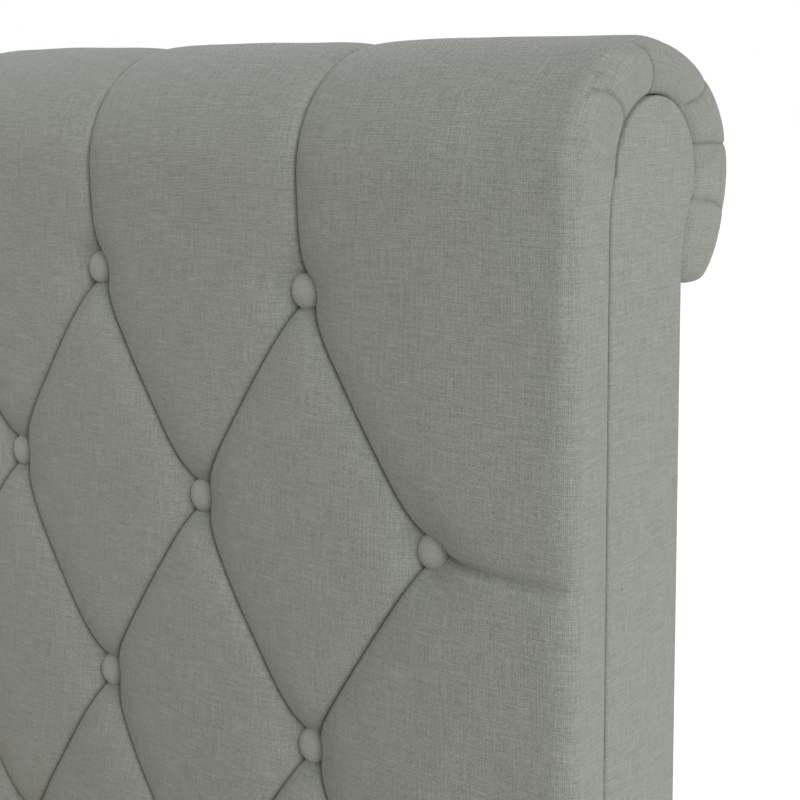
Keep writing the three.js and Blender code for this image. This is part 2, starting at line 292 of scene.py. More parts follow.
@dataclass(frozen=True)
class LinenFinish:
    """A plain-woven linen of slightly uneven yarn.

    The last seven numbers are how strongly each colour is laid over the ones before it; the last of them lays
    a painted shadow along the bottom of each pleat, where the piece's own attribute marks it.
    """

    name: str
    coordinates: str = "UV"
    facing: Optional[Axis] = None
    colour: Point = (0.216, 0.229, 0.205)
    light: Point = (0.37, 0.385, 0.35)
    dark: Point = (0.116, 0.126, 0.110)
    # The colour of the painted shadow along the bottom of each pleat.
    crease: Point = (0.040, 0.044, 0.038)
    thread: float = 0.00108
    waver: float = 3.0
    evenness: float = 0.60
    slubs: float = 0.32
    flecks: float = 0.36
    clouds: float = 0.06
    grains: float = 0.32
    gaps: float = 0.74
    folds: float = 0.62

    def make(self) -> Material:
        """Builds the material.

        Returns:
            A material that reads lengths in metres from the piece's UV map or its own coordinates.
        """
        paint = Paint(self.name)
        vector = paint.coordinates(self.coordinates)
        if self.facing is not None:
            parts = zip(Axis, paint.split(vector))
            vector = paint.combine(*(part for axis, part in parts if axis is not self.facing))
        weave = self._weave(paint, vector)
        warp_yarn = paint.streaks(vector, (820.0, 38.0, 1.0))
        weft_yarn = paint.streaks(vector, (38.0, 820.0, 1.0), (7.0, 3.0, 5.0))
        yarn = (warp_yarn + weft_yarn) * 0.5
        warp_slub = paint.streaks(vector, (560.0, 52.0, 1.0), (3.0, 11.0, 9.0), 0.0).over(0.69, 0.8)
        weft_slub = paint.streaks(vector, (52.0, 560.0, 1.0), (1.0, 5.0, 2.0), 0.0).over(0.68, 0.79)
        slub = warp_slub * 0.6 + weft_slub
        fleck = paint.streaks(vector, (70.0, 500.0, 1.0), (4.0, 8.0, 6.0)).over(0.63, 0.78)
        grain = paint.noise(vector, 460.0, 1.0).over(0.42, 0.64)
        # The piece's attribute that marks the bottom of each pleat, for the painted pleat shadow.
        fold = paint.value("ShaderNodeAttribute", {"attribute_name": "fold"}, {}, "Fac")
        layers = [
            (self.evenness, self.colour),
            (slub * self.slubs, self.light),
            (fleck * self.flecks, self.dark),
            (paint.noise(vector, 9.0, 3.0) * self.clouds, self.dark),
            (grain * self.grains, self.light),
            ((1 - weave) * self.gaps, self.dark),
            # Painted shadow along the bottom of each pleat.
            (fold * self.folds, self.crease),
        ]
        colour = paint.mix(yarn.over(0.34, 0.66), self.dark, self.light)
        paint.feed("Base Color", paint.layered(colour, layers))
        paint.feed("Roughness", 0.97 - slub * 0.12)
        paint.feed("Specular IOR Level", 0.18)
        paint.feed("Sheen Weight", 0.22)
        paint.feed("Sheen Roughness", 0.42)
        paint.feed("Sheen Tint", (0.86, 0.88, 0.84, 1.0))
        paint.bump(weave * 0.7 + yarn * 0.6 + slub * 0.35, 0.00040, 0.75)
        return paint.material

    def _weave(self, paint: Paint, vector: Socket) -> Value:
        """The height of the plain weave, from 0 between the threads to 1 on top of them."""
        wander = paint.noise(vector, 60.0, 1.0) * self.waver
        u, v, _ = paint.split(vector)
        turns = 2 * math.pi / self.thread
        warp, weft = ((part * turns + wander).sine() * 0.5 + 0.5 for part in (u, v))
        on_top = ((u / self.thread).floor() + (v / self.thread).floor()).modulo(2.0)
        return on_top * weft + (1 - on_top) * warp


@dataclass(frozen=True)
class TimberFinish:
    """Planed softwood, or stained hardwood, with its grain along one axis."""

    name: str
    grain: Axis
    pale: Point = (0.60, 0.41, 0.225)
    deep: Point = (0.42, 0.245, 0.11)
    rough: float = 0.62
    coat: float = 0.0
    rings: float = 26.0

    def make(self) -> Material:
        """Builds the material.

        Returns:
            A material on the piece's own coordinates.
        """
        paint = Paint(self.name)
        vector = paint.coordinates("Object")
        drawn = paint.stretched(vector, self._along(0.07, 1.0))
        drift = paint.noise(drawn, 9.0, 3.0)
        fine = paint.streaks(vector, self._along(14.0, 900.0), detail=2.0)
        x, y, z = paint.split(drawn)
        heart = x * 1.3 + y * 0.9 + z * 1.1 + drift * 0.16
        late = ((heart * (self.rings * 2 * math.pi)).sine() * 0.5 + 0.5) ** 2.2
        knot = 1 - paint.cells(drawn, 7.0, "DISTANCE_TO_EDGE").over(0.0, 0.05)
        layers = [(fine.over(0.45, 0.75) * 0.35, self.deep), (knot * 0.06, self.deep)]
        paint.feed("Base Color", paint.layered(paint.mix(late * 0.75, self.pale, self.deep), layers))
        paint.feed("Roughness", self.rough + late * 0.1 - fine * 0.08)
        paint.feed("Coat Weight", self.coat)
        paint.feed("Coat Roughness", 0.25)
        paint.bump(fine * 0.6 + late * 0.4, 0.00022, 0.6)
        return paint.material

    def _along(self, along: float, across: float) -> Point:
        """A scale with one value along the grain and another across it."""
        return tuple(along if axis is self.grain else across for axis in Axis)


@dataclass(frozen=True)
class SteelFinish:
    """Zinc-plated steel with a faint rolled grain and handling marks."""

    name: str
    colour: Point = (0.56, 0.57, 0.585)
    dull: Point = (0.36, 0.365, 0.37)

    def make(self) -> Material:
        """Builds the material."""
        paint = Paint(self.name)
        vector = paint.coordinates("Object")
        patch = paint.cells(vector, 260.0)
        marks = paint.streaks(vector, (60.0, 900.0, 60.0), detail=3.0)
        cloud = paint.noise(vector, 45.0, 4.0)
        paint.feed("Base Color", paint.mix(cloud * 0.6 + patch * 0.3, self.colour, self.dull))
        paint.feed("Metallic", 1.0)
        paint.feed("Roughness", 0.3 + cloud * 0.18 + marks * 0.1)
        paint.bump(marks * 0.5 + patch * 0.5, 0.00008, 0.6)
        return paint.material


@dataclass(frozen=True)
class PlasticFinish:
    """Moulded plastic with a fine spark-eroded texture, or card with a wound grain."""

    name: str
    colour: Point = (0.022, 0.023, 0.025)
    worn: Point = (0.05, 0.05, 0.052)
    rough: float = 0.48
    grain: Point = (900.0, 900.0, 900.0)

    def make(self) -> Material:
        """Builds the material."""
        paint = Paint(self.name)
        vector = paint.coordinates("Object")
        grain = paint.streaks(vector, self.grain, detail=2.0)
        cloud = paint.noise(vector, 30.0, 3.0)
        wear = cloud.over(0.4, 0.8) * 0.5 + grain * 0.2
        paint.feed("Base Color", paint.mix(wear, self.colour, self.worn))
        paint.feed("Roughness", self.rough + cloud * 0.14)
        paint.bump(grain, 0.0001, 0.5)
        return paint.material


class Wardrobe:
    """Every finish of the bed, made once and handed out by name."""

    def __init__(self) -> None:
        """Builds the materials."""
        birch = {"pale": (0.72, 0.55, 0.36), "deep": (0.56, 0.39, 0.22)}
        stain = {"pale": (0.062, 0.033, 0.02), "deep": (0.026, 0.014, 0.009)}
        # The buttons wear the pad's linen, painted lighter here to stand in for the light that the raised
        # buttons catch.
        button = {"colour": (0.292, 0.309, 0.277), "dark": (0.158, 0.170, 0.149)}
        card = {"colour": (0.33, 0.225, 0.13), "worn": (0.25, 0.165, 0.09)}
        finishes = [
            LinenFinish("linen"),
            LinenFinish("linen_button", thread=0.0013, **button),
            LinenFinish("linen_board", coordinates="Object", facing=Axis.Y),
            TimberFinish("pine_x", Axis.X),
            TimberFinish("pine_y", Axis.Y),
            TimberFinish("pine_z", Axis.Z),
            TimberFinish("slat_birch", Axis.X, rings=18.0, **birch),
            TimberFinish("stained_foot", Axis.Z, rough=0.4, coat=0.35, **stain),
            SteelFinish("zinc_steel"),
            PlasticFinish("black_plastic"),
            PlasticFinish("wound_card", rough=0.85, grain=(30.0, 600.0, 600.0), **card),
        ]
        self.materials = {finish.name: finish.make() for finish in finishes}

    def __getitem__(self, name: str) -> Material:
        """The material of that name."""
        return self.materials[name]


# ---- Mesh helpers ----


def linked(name: str, data: bpy.types.ID) -> Piece:
    """Makes an object of a mesh, a light or a camera and puts it in the scene."""
    made = bpy.data.objects.new(name, data)
    bpy.context.scene.collection.objects.link(made)
    return made


def shade_smooth(mesh: bpy.types.Mesh) -> None:
    """Shades every face of a mesh smooth."""
    mesh.polygons.foreach_set("use_smooth", [True] * len(mesh.polygons))


def strip(near: Sequence[int], far: Sequence[int]) -> list[list[int]]:
    """The square faces between two rows of as many vertices."""
    return [[near[j], near[j + 1], far[j + 1], far[j]] for j in range(len(near) - 1)]


def new_piece(
    name: str, vertices: Array, faces: list, uv: Array, material: Material, fold: Optional[Array] = None
) -> Piece:
    """Makes a smooth-shaded, clean and outward-facing piece from plain arrays.

    Args:
        name: the piece's name.
        vertices: one row of X, Y and Z for each vertex.
        faces: lists of vertex numbers.
        uv: one row of U and V for each vertex, in metres of cloth.
        material: its finish.
        fold: how strongly each vertex is painted with pleat shadow, by how close it lies to the bottom of a
            pleat, from 0 to 1, or None.

    Returns:
        The linked object, at the origin.
    """
    mesh = bpy.data.meshes.new(name)
    mesh.from_pydata(vertices.tolist(), [], faces)
    layer = mesh.uv_layers.new(name="UVMap")
    corners = np.empty(len(mesh.loops), dtype=np.int32)
    mesh.loops.foreach_get("vertex_index", corners)
    layer.data.foreach_set("uv", uv[corners].astype(np.float32).ravel())
    # The painted pleat shadow goes to the material as a vertex attribute.
    if fold is not None:
        mesh.attributes.new("fold", "FLOAT", "POINT").data.foreach_set("value", fold.astype(np.float32))
    mesh.materials.append(material)
    piece = linked(name, mesh)
    tidy_mesh(piece)
    return piece


def tidy_mesh(piece: Piece, merge: float = 1e-5) -> None:
    """Merges doubled vertices, drops what collapses and turns every face outwards."""
    work = bmesh.new()
    work.from_mesh(piece.data)
    bmesh.ops.remove_doubles(work, verts=work.verts, dist=merge)
    bmesh.ops.dissolve_degenerate(work, edges=work.edges, dist=1e-7)
    bmesh.ops.recalc_face_normals(work, faces=work.faces)
    work.to_mesh(piece.data)
    work.free()
    shade_smooth(piece.data)


def bake_modifiers(piece: Piece) -> None:
    """Turns a piece with modifiers into a plain mesh."""
    graph = bpy.context.evaluated_depsgraph_get()
    mesh = bpy.data.meshes.new_from_object(piece.evaluated_get(graph))
    old = piece.data
    piece.modifiers.clear()
    piece.data = mesh
    if old.users == 0:
        bpy.data.meshes.remove(old)


def attach(piece: Piece, *nodes: str, slot: str, body: str = BODY) -> Piece:
    """Rides a piece on a body and hides the frame's nodes that it stands for."""
    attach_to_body(piece, body)
    if nodes:
        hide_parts(*nodes)
    return piece


def eased_copy(node: str, name: str, width: float, material: Material) -> Piece:
    """Copies a node's solid and eases its edges.

    Args:
        node: the node to copy.
        name: the new piece's name.
        width: the width of the rounding along every hard edge.
        material: its finish.

    Returns:
        A plain mesh piece.
    """
    mesh = bpy.data.objects[node].data.copy()
    mesh.name = name
    piece = linked(name, mesh)
    work = bmesh.new()
    work.from_mesh(mesh)
    bmesh.ops.remove_doubles(work, verts=work.verts, dist=1e-6)
    bmesh.ops.dissolve_limit(work, angle_limit=math.radians(1.0), verts=work.verts, edges=work.edges)
    work.to_mesh(mesh)
    work.free()
    mesh.materials.clear()
    mesh.materials.append(material)
    bevel = piece.modifiers.new("eased", "BEVEL")
    bevel.width = width
    bevel.segments = 3
    bevel.limit_method = "ANGLE"
    bevel.angle_limit = math.radians(28)
    bake_modifiers(piece)
    shade_smooth(piece.data)
    piece.data.set_sharp_from_angle(angle=math.radians(38))
    return piece


def beside(line: Sequence[float], x: Array, y: Array) -> tuple[Array, Array, float]:
    """Where places lie beside a straight line.

    Args:
        line: the line's two ends, as four numbers.
        x: the places' first coordinates.
        y: the places' second coordinates.

    Returns:
        Distances along the line and away from it, and its length.
    """
    x0, y0, x1, y1 = line
    length = math.hypot(x1 - x0, y1 - y0)
    ax, ay = (x1 - x0) / length, (y1 - y0) / length
    along = np.clip((x - x0) * ax + (y - y0) * ay, 0, length)
    return along, np.hypot(x - x0 - along * ax, y - y0 - along * ay), length


def rounded_rim(inset: Array, radius: float) -> Array:
    """The height of a rounded edge under its own top, by the distance from the outside."""
    return radius * (np.sqrt(1 - (1 - np.clip(inset / radius, 0, 1)) ** 2) - 1)


# ---- The scroll's section ----


@dataclass(frozen=True)
class Scroll:
    """The section of one end of the bed, in depth behind the seam and drop below the crest.

    A place on the pad's outer skin is given by its run: on the straight front the run is the drop below the
    crest, and it counts down from there over the roll to the tail.
    """

    top: float
    bottom: float
    front: float = 0.049
    cheek: float = 0.093
    eye_depth: float = 0.058
    eye_drop: float = 0.0875
    eye_radius: float = 0.0513
    neck_drop: float = 0.1655
    crest_depth: float = 0.044
    crest_rise: float = 0.0943
    back_reach: float = 0.113
    tail_depth: float = 0.1173
    tail_round: float = 0.010
    hem_round: float = 0.014
    blend_tail: float = 0.022
    below: float = 0.32
    arch_blend: float = 0.03
    table: tuple = field(init=False, repr=False, compare=False)

    def __post_init__(self) -> None:
        """Measures the outer skin once, as a fine table of places by run."""
        object.__setattr__(self, "table", self._measure())

    def _measure(self) -> tuple[Array, Array, Array]:
        """Walks the outer skin from the tail's root to the hem's root."""
        back = self.crest_depth + self.back_reach
        belly = self.neck_drop - self.eye_drop
        height = self.top - self.bottom
        tail = self.tail_depth - self.tail_round
        reach = self.crest_depth + self.front
        turned = [(math.sin(a), math.cos(a)) for a in np.linspace(0, math.pi / 2, 80)]
        under = [(tail + (back - tail) * s, self.eye_drop + belly * c) for s, c in turned[10:]]
        over = [(self.crest_depth + self.back_reach * c, self.eye_drop * (1 - s)) for s, c in turned[1:]]
        front = [(self.crest_depth - reach * s, self.crest_rise * (1 - c)) for s, c in turned[1:]]
        hem = [(-self.front + self.hem_round * (1 - c), height - self.hem_round * (1 - s)) for s, c in turned]
        root = [(self.cheek + 0.001, self.neck_drop), (tail, self.neck_drop)]
        skin = np.array(root + under + over + front + hem + [(-0.0005, height)])
        skin = np.concatenate([self._resampled(skin[:-1]), skin[-1:]])
        lengths = self.lengths(skin)
        off_front = skin[:, 0] > -self.front + 1e-4
        straight = np.argmin(np.abs(skin[:, 1] - self.crest_rise - 0.02) + 10 * off_front)
        run = lengths - lengths[straight] + skin[straight, 1]
        return run, skin[:, 0], skin[:, 1]

    @staticmethod
    def lengths(line: Array) -> Array:
        """How far along a line each of its places lies."""
        return np.concatenate([[0], np.cumsum(np.hypot(*np.diff(line, axis=0).T))])

    @classmethod
    def _resampled(cls, line: Array, step: float = 0.0008, passes: int = 14) -> Array:
        """A line with even steps, its corners softened a little."""
        lengths = cls.lengths(line)
        even = np.linspace(0, lengths[-1], int(lengths[-1] / step))
        soft = np.stack([np.interp(even, lengths, line[:, k]) for k in (0, 1)], axis=1)
        for _ in range(passes):
            soft[1:-1] = 0.25 * soft[:-2] + 0.5 * soft[1:-1] + 0.25 * soft[2:]
        return soft

    @property
    def ends(self) -> tuple[float, float]:
        """The runs at the tail's root and at the hem's root."""
        return float(self.table[0][0]), float(self.table[0][-1])

    def place(self, run: Array) -> tuple[Array, Array]:
        """Depth and drop of the skin at each run."""
        return np.interp(run, self.table[0], self.table[1]), np.interp(run, self.table[0], self.table[2])

    def outward(self, run: Array) -> tuple[Array, Array]:
        """The skin's outward direction at each run, as depth and drop."""
        reach = 0.003
        (d0, p0), (d1, p1) = self.place(run - reach), self.place(run + reach)
        length = np.hypot(d1 - d0, p1 - p0) + 1e-12
        return -(p1 - p0) / length, (d1 - d0) / length

    def raised(self, run: Array, height: Array) -> tuple[Array, Array]:
        """Depth and drop at a height over the skin at each run."""
        (depth, drop), (out_depth, out_drop) = self.place(run), self.outward(run)
        return depth + out_depth * height, drop + out_drop * height

    def outline(self, grow: float = 0.0) -> Array:
        """The cheek panel's outline, from the foot of its back edge over the eye to its front edge's foot.

        Args:
            grow: how far outside the cheek panel the line runs.

        Returns:
            Rows of depth and drop.
        """
        radius = self.eye_radius + grow
        low = self.top - self.bottom + self.below
        turn = np.radians(np.linspace(-25, 160, 75))
        eye = [(self.eye_depth + radius * math.cos(a), self.eye_drop - radius * math.sin(a)) for a in turn]

        def blend(start: Sequence[float], angle: float, depth: float) -> list:
            """Leads the round head's end over into a straight edge at that depth."""
            slope = -math.cos(angle) / math.sin(angle)
            corner = start[1] - (depth - start[0]) * slope
            foot = corner + self.blend_tail
            return [
                ((1 - t) ** 2 * start[0] + 2 * t * (1 - t) * depth + t * t * depth,
                 (1 - t) ** 2 * start[1] + 2 * t * (1 - t) * corner + t * t * foot)
                for t in np.linspace(0, 1, 12)[1:]
            ]

        back = blend(eye[0], turn[0], self.cheek + grow)
        front = blend(eye[-1], turn[-1], -grow)
        line = [(self.cheek + grow, low)] + back[::-1] + eye + front + [(-grow, low)]
        return np.array(line)

    def flanks(self, drop: Array, grow: float = 0.0) -> tuple[Array, Array]:
        """The depths of the cheek panel's front and back edges, grown by so much, at each drop."""
        line = self.outline(grow)
        crown = int(np.argmin(line[:, 1]))
        rear, fore = line[: crown + 1], line[crown:]
        return np.interp(drop, fore[:, 1], fore[:, 0]), np.interp(-drop, -rear[:, 1], rear[:, 0])

    def inner(self, run: Array, grow: float = 2 * TOUCH) -> tuple[Array, Array]:
        """The place on the cheek panel's outline that each place on the skin is drawn in to.

        Args:
            run: places on the skin.
            grow: the gap to the cheek panel.

        Returns:
            Depth and drop.
        """
        depth, drop = self.place(run)
        angle = np.arctan2(self.eye_drop - drop, depth - self.eye_depth)
        round_depth = self.eye_depth + (self.eye_radius + grow) * np.cos(angle)
        round_drop = self.eye_drop - (self.eye_radius + grow) * np.sin(angle)
        level = np.clip(drop, None, self.top - self.bottom)
        arch = np.clip((self.eye_drop - drop) / self.arch_blend + 0.5, 0, 1)
        arch = arch * arch * (3 - 2 * arch)
        low_depth = np.where(depth < self.eye_depth, *self.flanks(level, grow))
        return arch * round_depth + (1 - arch) * low_depth, arch * round_drop + (1 - arch) * level


# ---- Tufting ----


@dataclass(frozen=True)
class Tufting:
    """A diamond pattern of buttons and the pleats between them, over the pad's width and run."""

    rows: int
    half_pitch: float = 0.1144
    rise: float = 0.1716
    first_row: float = 0.177
    columns: int = 7
    edge: float = 0.8059
    pleat_depth: float = 0.0088
    button_depth: float = 0.0125
    button_rim: float = 0.011
    button_reach: float = 0.016
    crown: float = 0.0042
    broad_reach: float = 0.098
    broad_power: float = 2.1
    shoulder_reach: float = 0.0105
    groove_reach: float = 0.0013
    shares: Point = (0.40, 0.62, 0.28)
    merging: float = 8.0
    # How fast the painted pleat shadow fades away from a pleat's bottom.
    fold_reach: float = 0.0007
    side_reach: float = 0.112
    side_power: float = 1.35
    side_depth: float = 0.0015
    front_side_depth: float = 0.0080
    wander: float = 0.00045

    def buttons(self) -> list[tuple[float, float]]:
        """The buttons' places, as width and run. The first row has one button fewer than the next."""
        places = []
        for row in range(self.rows):
            count = self.columns - 1 + row % 2
            run = self.first_row + row * self.rise
            places += [((2 * i - count + 1) * self.half_pitch, run) for i in range(count)]
        return places

    @property
    def last_row(self) -> float:
        """The run of the lowest row."""
        return self.first_row + (self.rows - 1) * self.rise

    def pleats(self, scroll: Scroll) -> list[tuple[float, float, float, float]]:
        """The pleats between buttons, over the roll, down to the hem and out to the sides, by their ends."""
        places = self.buttons()
        lines = [
            (x, run, other, lower)
            for x, run in places
            for other, lower in places
            if abs(lower - run - self.rise) < 1e-6 and abs(abs(other - x) - self.half_pitch) < 1e-6
        ]
        lines += [(x, run, x, scroll.ends[0]) for x, run in places if run == self.first_row]
        lines += [(x, run, x, scroll.ends[1]) for x, run in places if abs(run - self.last_row) < 1e-6]
        reach = (self.columns - 1) * self.half_pitch - 1e-6
        return lines + [(x, run, math.copysign(self.edge, x), run) for x, run in places if abs(x) > reach]

    def depth_along(self, line: tuple, place: Array, length: float) -> Array:
        """How deep a pleat is at distances along it.

        Args:
            line: the pleat's two ends, as width and run.
            place: distances from its first end.
            length: its length.

        Returns:
            Depths under the pad's mean face.
        """
        x0, run0, x1, run1 = line
        if x0 == x1 and run1 < run0:  # over the roll
            share = 1.0 - 0.66 * np.clip((place - 0.02) / 0.36, 0, 1)
        elif x0 == x1:  # down to the hem
            share = 0.9 - 0.3 * np.clip(place / 0.12, 0, 1)
        elif run0 == run1:  # out to the side
            share = 0.80 * np.exp(-place / 0.030) + 0.54 * np.clip(1 - place / 0.24, 0, 1)
        else:  # between two buttons, shallowest halfway
            share = 1.12 - 0.16 * (4 * (place / length) * (1 - place / length))
        return self.pleat_depth * share

    def relief(self, x: Array, run: Array, scroll: Scroll) -> Array:
        """The height of the cloth over the pad's mean face.

        Args:
            x: places across the bed.
            run: places along the section.
            scroll: the section.

        Returns:
            Heights along the skin's outward direction.
        """
        total = np.zeros_like(x)
        for line in self.pleats(scroll):
            along, away, length = beside(line, x, run)
            broad = np.clip(1 - away / self.broad_reach, 0, 1) ** self.broad_power
            shoulder = np.exp(-away / self.shoulder_reach)
            groove = np.exp(-away / self.groove_reach)
            profile = self.shares[0] * broad + self.shares[1] * shoulder + self.shares[2] * groove
            total += (self.depth_along(line, along, length) * profile) ** self.merging
        height = self.crown - total ** (1 / self.merging)
        for bx, brun in self.buttons():
            away = np.hypot(x - bx, run - brun)
            past = np.clip(away - self.button_rim, 0, None)
            height -= self.button_depth * np.exp(-past / self.button_reach)
        return height + self.side_fall(x, run) + self.unevenness(x, run)

    def fold(self, x: Array, run: Array, scroll: Scroll) -> Array:
        """How strongly places are painted with pleat shadow: how close they lie to the bottom of a pleat, from
        0 to 1.
        """
        closest = np.zeros_like(x)
        for line in self.pleats(scroll):
            along, away, length = beside(line, x, run)
            share = np.clip(self.depth_along(line, along, length) / self.pleat_depth, 0, 1)
            closest = np.maximum(closest, share * np.exp(-away / self.fold_reach))
        return closest

    def side_fall(self, x: Array, run: Array) -> Array:
        """How much the cloth falls away to the pad's two sides: more on the front than over the roll."""
        near = np.clip(1 - (self.edge - np.abs(x)) / self.side_reach, 0, 1) ** self.side_power
        on_front = np.clip((run + 0.06) / 0.16, 0, 1)
        return -near * (self.side_depth + self.front_side_depth * on_front)

    def unevenness(self, x: Array, run: Array) -> Array:
        """Small hand-made differences between the diamonds."""
        return self.wander * (
            np.sin(x * 31 + 1.3 * np.sin(run * 17)) * np.sin(run * 27 + 0.7)
            + 0.7 * np.sin(x * 67 + 2.1) * np.sin(run * 59 + x * 9)
        )


@dataclass
class TuftedPad:
    """One end's pad: tufted front, roll and gathered ends in one closed skin."""

    end: End
    rows: int
    steps: int = 38
    run_step: float = 0.0056
    fillet: float = 0.0125
    end_columns: int = 30
    crowding: float = 0.85
    root_fade: float = 0.03
    gather_depths: tuple[float, float] = (0.0021, 0.0009)
    gather_reaches: tuple[float, float] = (0.0011, 0.006)
    # How fast the painted shadow fades away from the pleats gathered at the ends.
    gather_fold: float = 0.0008
    # Each of these is the value on the front, and how much more it is on the roll.
    bulge: tuple[float, float] = (0.0012, 0.0036)
    tuck: tuple[float, float] = (0.0013, 0.0022)
    tuck_reach: tuple[float, float] = (0.0016, 0.0014)

    # The five pleats gathered at each end of the roll, as depth and drop from the cloth to the cheek panel.
    GATHERS = (
        ((-0.030, 0.0312), (-0.0125, 0.0331), (-0.0038, 0.0365),
         (0.0060, 0.0418), (0.0126, 0.0478), (0.0182, 0.0545)),
        ((0.030, 0.001), (0.0352, 0.006), (0.0400, 0.0113),
         (0.0446, 0.0180), (0.0478, 0.0256), (0.0500, 0.037)),
        ((0.123, 0.018), (0.1194, 0.0251), (0.1151, 0.0333), (0.1064, 0.0396), (0.0946, 0.0436)),
        ((0.1535, 0.0719), (0.125, 0.0703), (0.1082, 0.0707)),
        ((0.145, 0.1170), (0.132, 0.1118), (0.1203, 0.1097), (0.1064, 0.1086)),
    )

    def __post_init__(self) -> None:
        """Reads the pad's place from the frame."""
        low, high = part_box(f"{self.end.label}_pad")
        self.half = high[0]
        self.scroll = Scroll(top=high[2], bottom=low[2])
        nearest = low[1] if self.end is End.HEAD else -high[1]
        self.seam = nearest + self.scroll.front
        self.tufting = Tufting(rows=self.rows, edge=self.half)

    def world(self, x: Array, depth: Array, drop: Array) -> Array:
        """Places in the bed's frame from the end's own width, depth and drop."""
        sign = self.end.value
        return np.stack([sign * x, sign * (self.seam + depth), self.scroll.top - drop], axis=-1)

    def from_gathers(self, depth: Array, drop: Array) -> Array:
        """How far places on an end lie from its nearest pleat."""
        away = np.full_like(depth, 1.0)
        for line in self.GATHERS:
            for start, stop in zip(line, line[1:]):
                away = np.minimum(away, beside((*start, *stop), depth, drop)[1])
        return away

    def gathered(self, depth: Array, drop: Array) -> Array:
        """How deep the end's pleats cut at places on it."""
        away = self.from_gathers(depth, drop)
        groove, dip = (d * np.exp(-away / reach) for d, reach in zip(self.gather_depths, self.gather_reaches))
        return groove + dip

    def front_skin(self, x: Array, run: Array) -> Array:
        """Places on the front and the roll, with the sides' rounding."""
        height = self.tufting.relief(x, run, self.scroll) * self.clear(run)
        past = np.clip(np.abs(x) - (self.half - self.fillet), 0, self.fillet)
        height -= self.fillet - np.sqrt(self.fillet ** 2 - past ** 2)
        near_end = np.clip(1 - (self.half - np.abs(x)) / 0.03, 0, 1)
        height -= self.gathered(*self.scroll.place(run)) * near_end * np.clip((run + 0.02) / 0.05, 0.12, 0.85)
        return self.world(x, *self.scroll.raised(run, height))

    def clear(self, run: Array) -> Array:
        """How clear places lie of the skin's two roots, from 0 to 1."""
        start, stop = self.scroll.ends
        return np.clip((run - start) / self.root_fade, 0, 1) * np.clip((stop - run) / self.root_fade, 0, 1)

    def end_skin(self, side: float, run: Array, share: Array) -> Array:
        """Places on an end, from the front skin's last column in to the cheek panel.

        Args:
            side: the sign of the end's X.
            run: places along the section.
            share: how far in each place lies, from 0 at the last column to 1 at the cheek panel.

        Returns:
            One row of X, Y and Z for each place.
        """
        inside = self.clear(run)
        out_depth, out_drop = self.scroll.outward(run)
        height = self.tufting.relief(np.full_like(run, self.last_column), run, self.scroll) * inside
        full_depth, full_drop = self.scroll.raised(run, height)
        in_depth, in_drop = self.scroll.inner(run)
        wall = np.maximum(np.hypot(in_depth - full_depth, in_drop - full_drop), 1e-4)
        # The corner: an arc that starts where the front skin stops, and then a flat wall.
        flat_from = self.half - self.fillet
        angle0 = math.asin((self.last_column - flat_from) / self.fillet)
        radius = np.minimum(self.fillet, wall * 0.8)
        arc = radius * (math.pi / 2 - angle0)
        travel = share * (arc + np.maximum(wall - radius, 0))
        angle = angle0 + np.clip(travel / np.maximum(radius, 1e-6), 0, math.pi / 2 - angle0)
        deep = np.where(travel < arc, radius * (1 - np.cos(angle)), radius + travel - arc)
        deep = np.maximum(deep, self.fillet * (1 - math.cos(angle0)) * np.clip(1 - share * 3, 0, 1))
        width = np.where(travel < arc, flat_from + self.fillet * np.sin(angle), self.half)
        # The cloth bulges between the corner and the cheek panel, and is tucked in behind the panel.
        part = np.clip(deep / wall, 0, 1)
        on_roll = np.clip((0.10 - run) / 0.06, 0, 1)
        pairs = (self.bulge, self.tuck, self.tuck_reach)
        bulge, tuck, tuck_reach = (front + more * on_roll for front, more in pairs)
        bulge = bulge * np.sin(math.pi * part ** 0.8) * inside
        tuck = tuck * np.exp(-(1 - part) * wall / tuck_reach) * inside
        here_depth = full_depth + (in_depth - full_depth) * part
        here_drop = full_drop + (in_drop - full_drop) * part
        # The gathered pleats cut sideways, and near the corner also from above.
        cut = self.gathered(here_depth, here_drop) * inside
        corner = np.clip(1 - part * 4, 0, 1)
        width = width + bulge - tuck - cut * (1 - 0.55 * corner)
        down = cut * 0.8 * corner
        return self.world(side * width, here_depth - out_depth * down, here_drop - out_drop * down)

    @property
    def last_column(self) -> float:
        """The width at which the front skin hands over to the ends."""
        return self.tufting.columns * self.tufting.half_pitch

    def even_rows(self, start: float, stop: float) -> list[float]:
        """Runs from start up to but not including stop, at about a step apart."""
        count = max(2, int(round((stop - start) / self.run_step)))
        return [start + (stop - start) * i / count for i in range(count)]

    def build_grid(self) -> tuple[Array, Array, list[list[int]], list[list[int]]]:
        """Lays out the front skin's vertices so that every pleat lies along edges.

        Between the first and last rows of buttons the vertices stand on a slanted lattice that follows the
        diamonds; above and below it they stand in straight columns that follow the upright pleats.

        Returns:
            Widths, runs, faces, and the vertex rows, top row first.
        """
        tufting = self.tufting
        n = self.steps
        span = tufting.columns  # half pitches from the middle to the last column
        widths: list[float] = []
        runs: list[float] = []
        rows: list[list[int]] = []

        def add_row(row_widths: Iterable[float], row_runs: Iterable[float]) -> None:
            """Adds one row of vertices."""
            first = len(widths)
            widths.extend(row_widths)
            runs.extend(row_runs)
            rows.append(list(range(first, len(widths))))

        def lattice(level: int) -> tuple[list[float], list[float]]:
            """The widths and runs of one row of the slanted lattice."""
            picks = np.array([k for k in range(-span * n, span * n + 1) if (k - level) % 2 == 0])
            a, c = self._warp((picks + level) / 2 / n), self._warp((picks - level) / 2 / n)
            base = tufting.first_row - tufting.rise
            return list(tufting.half_pitch * (a + c)), list(base + tufting.rise * (a - c))

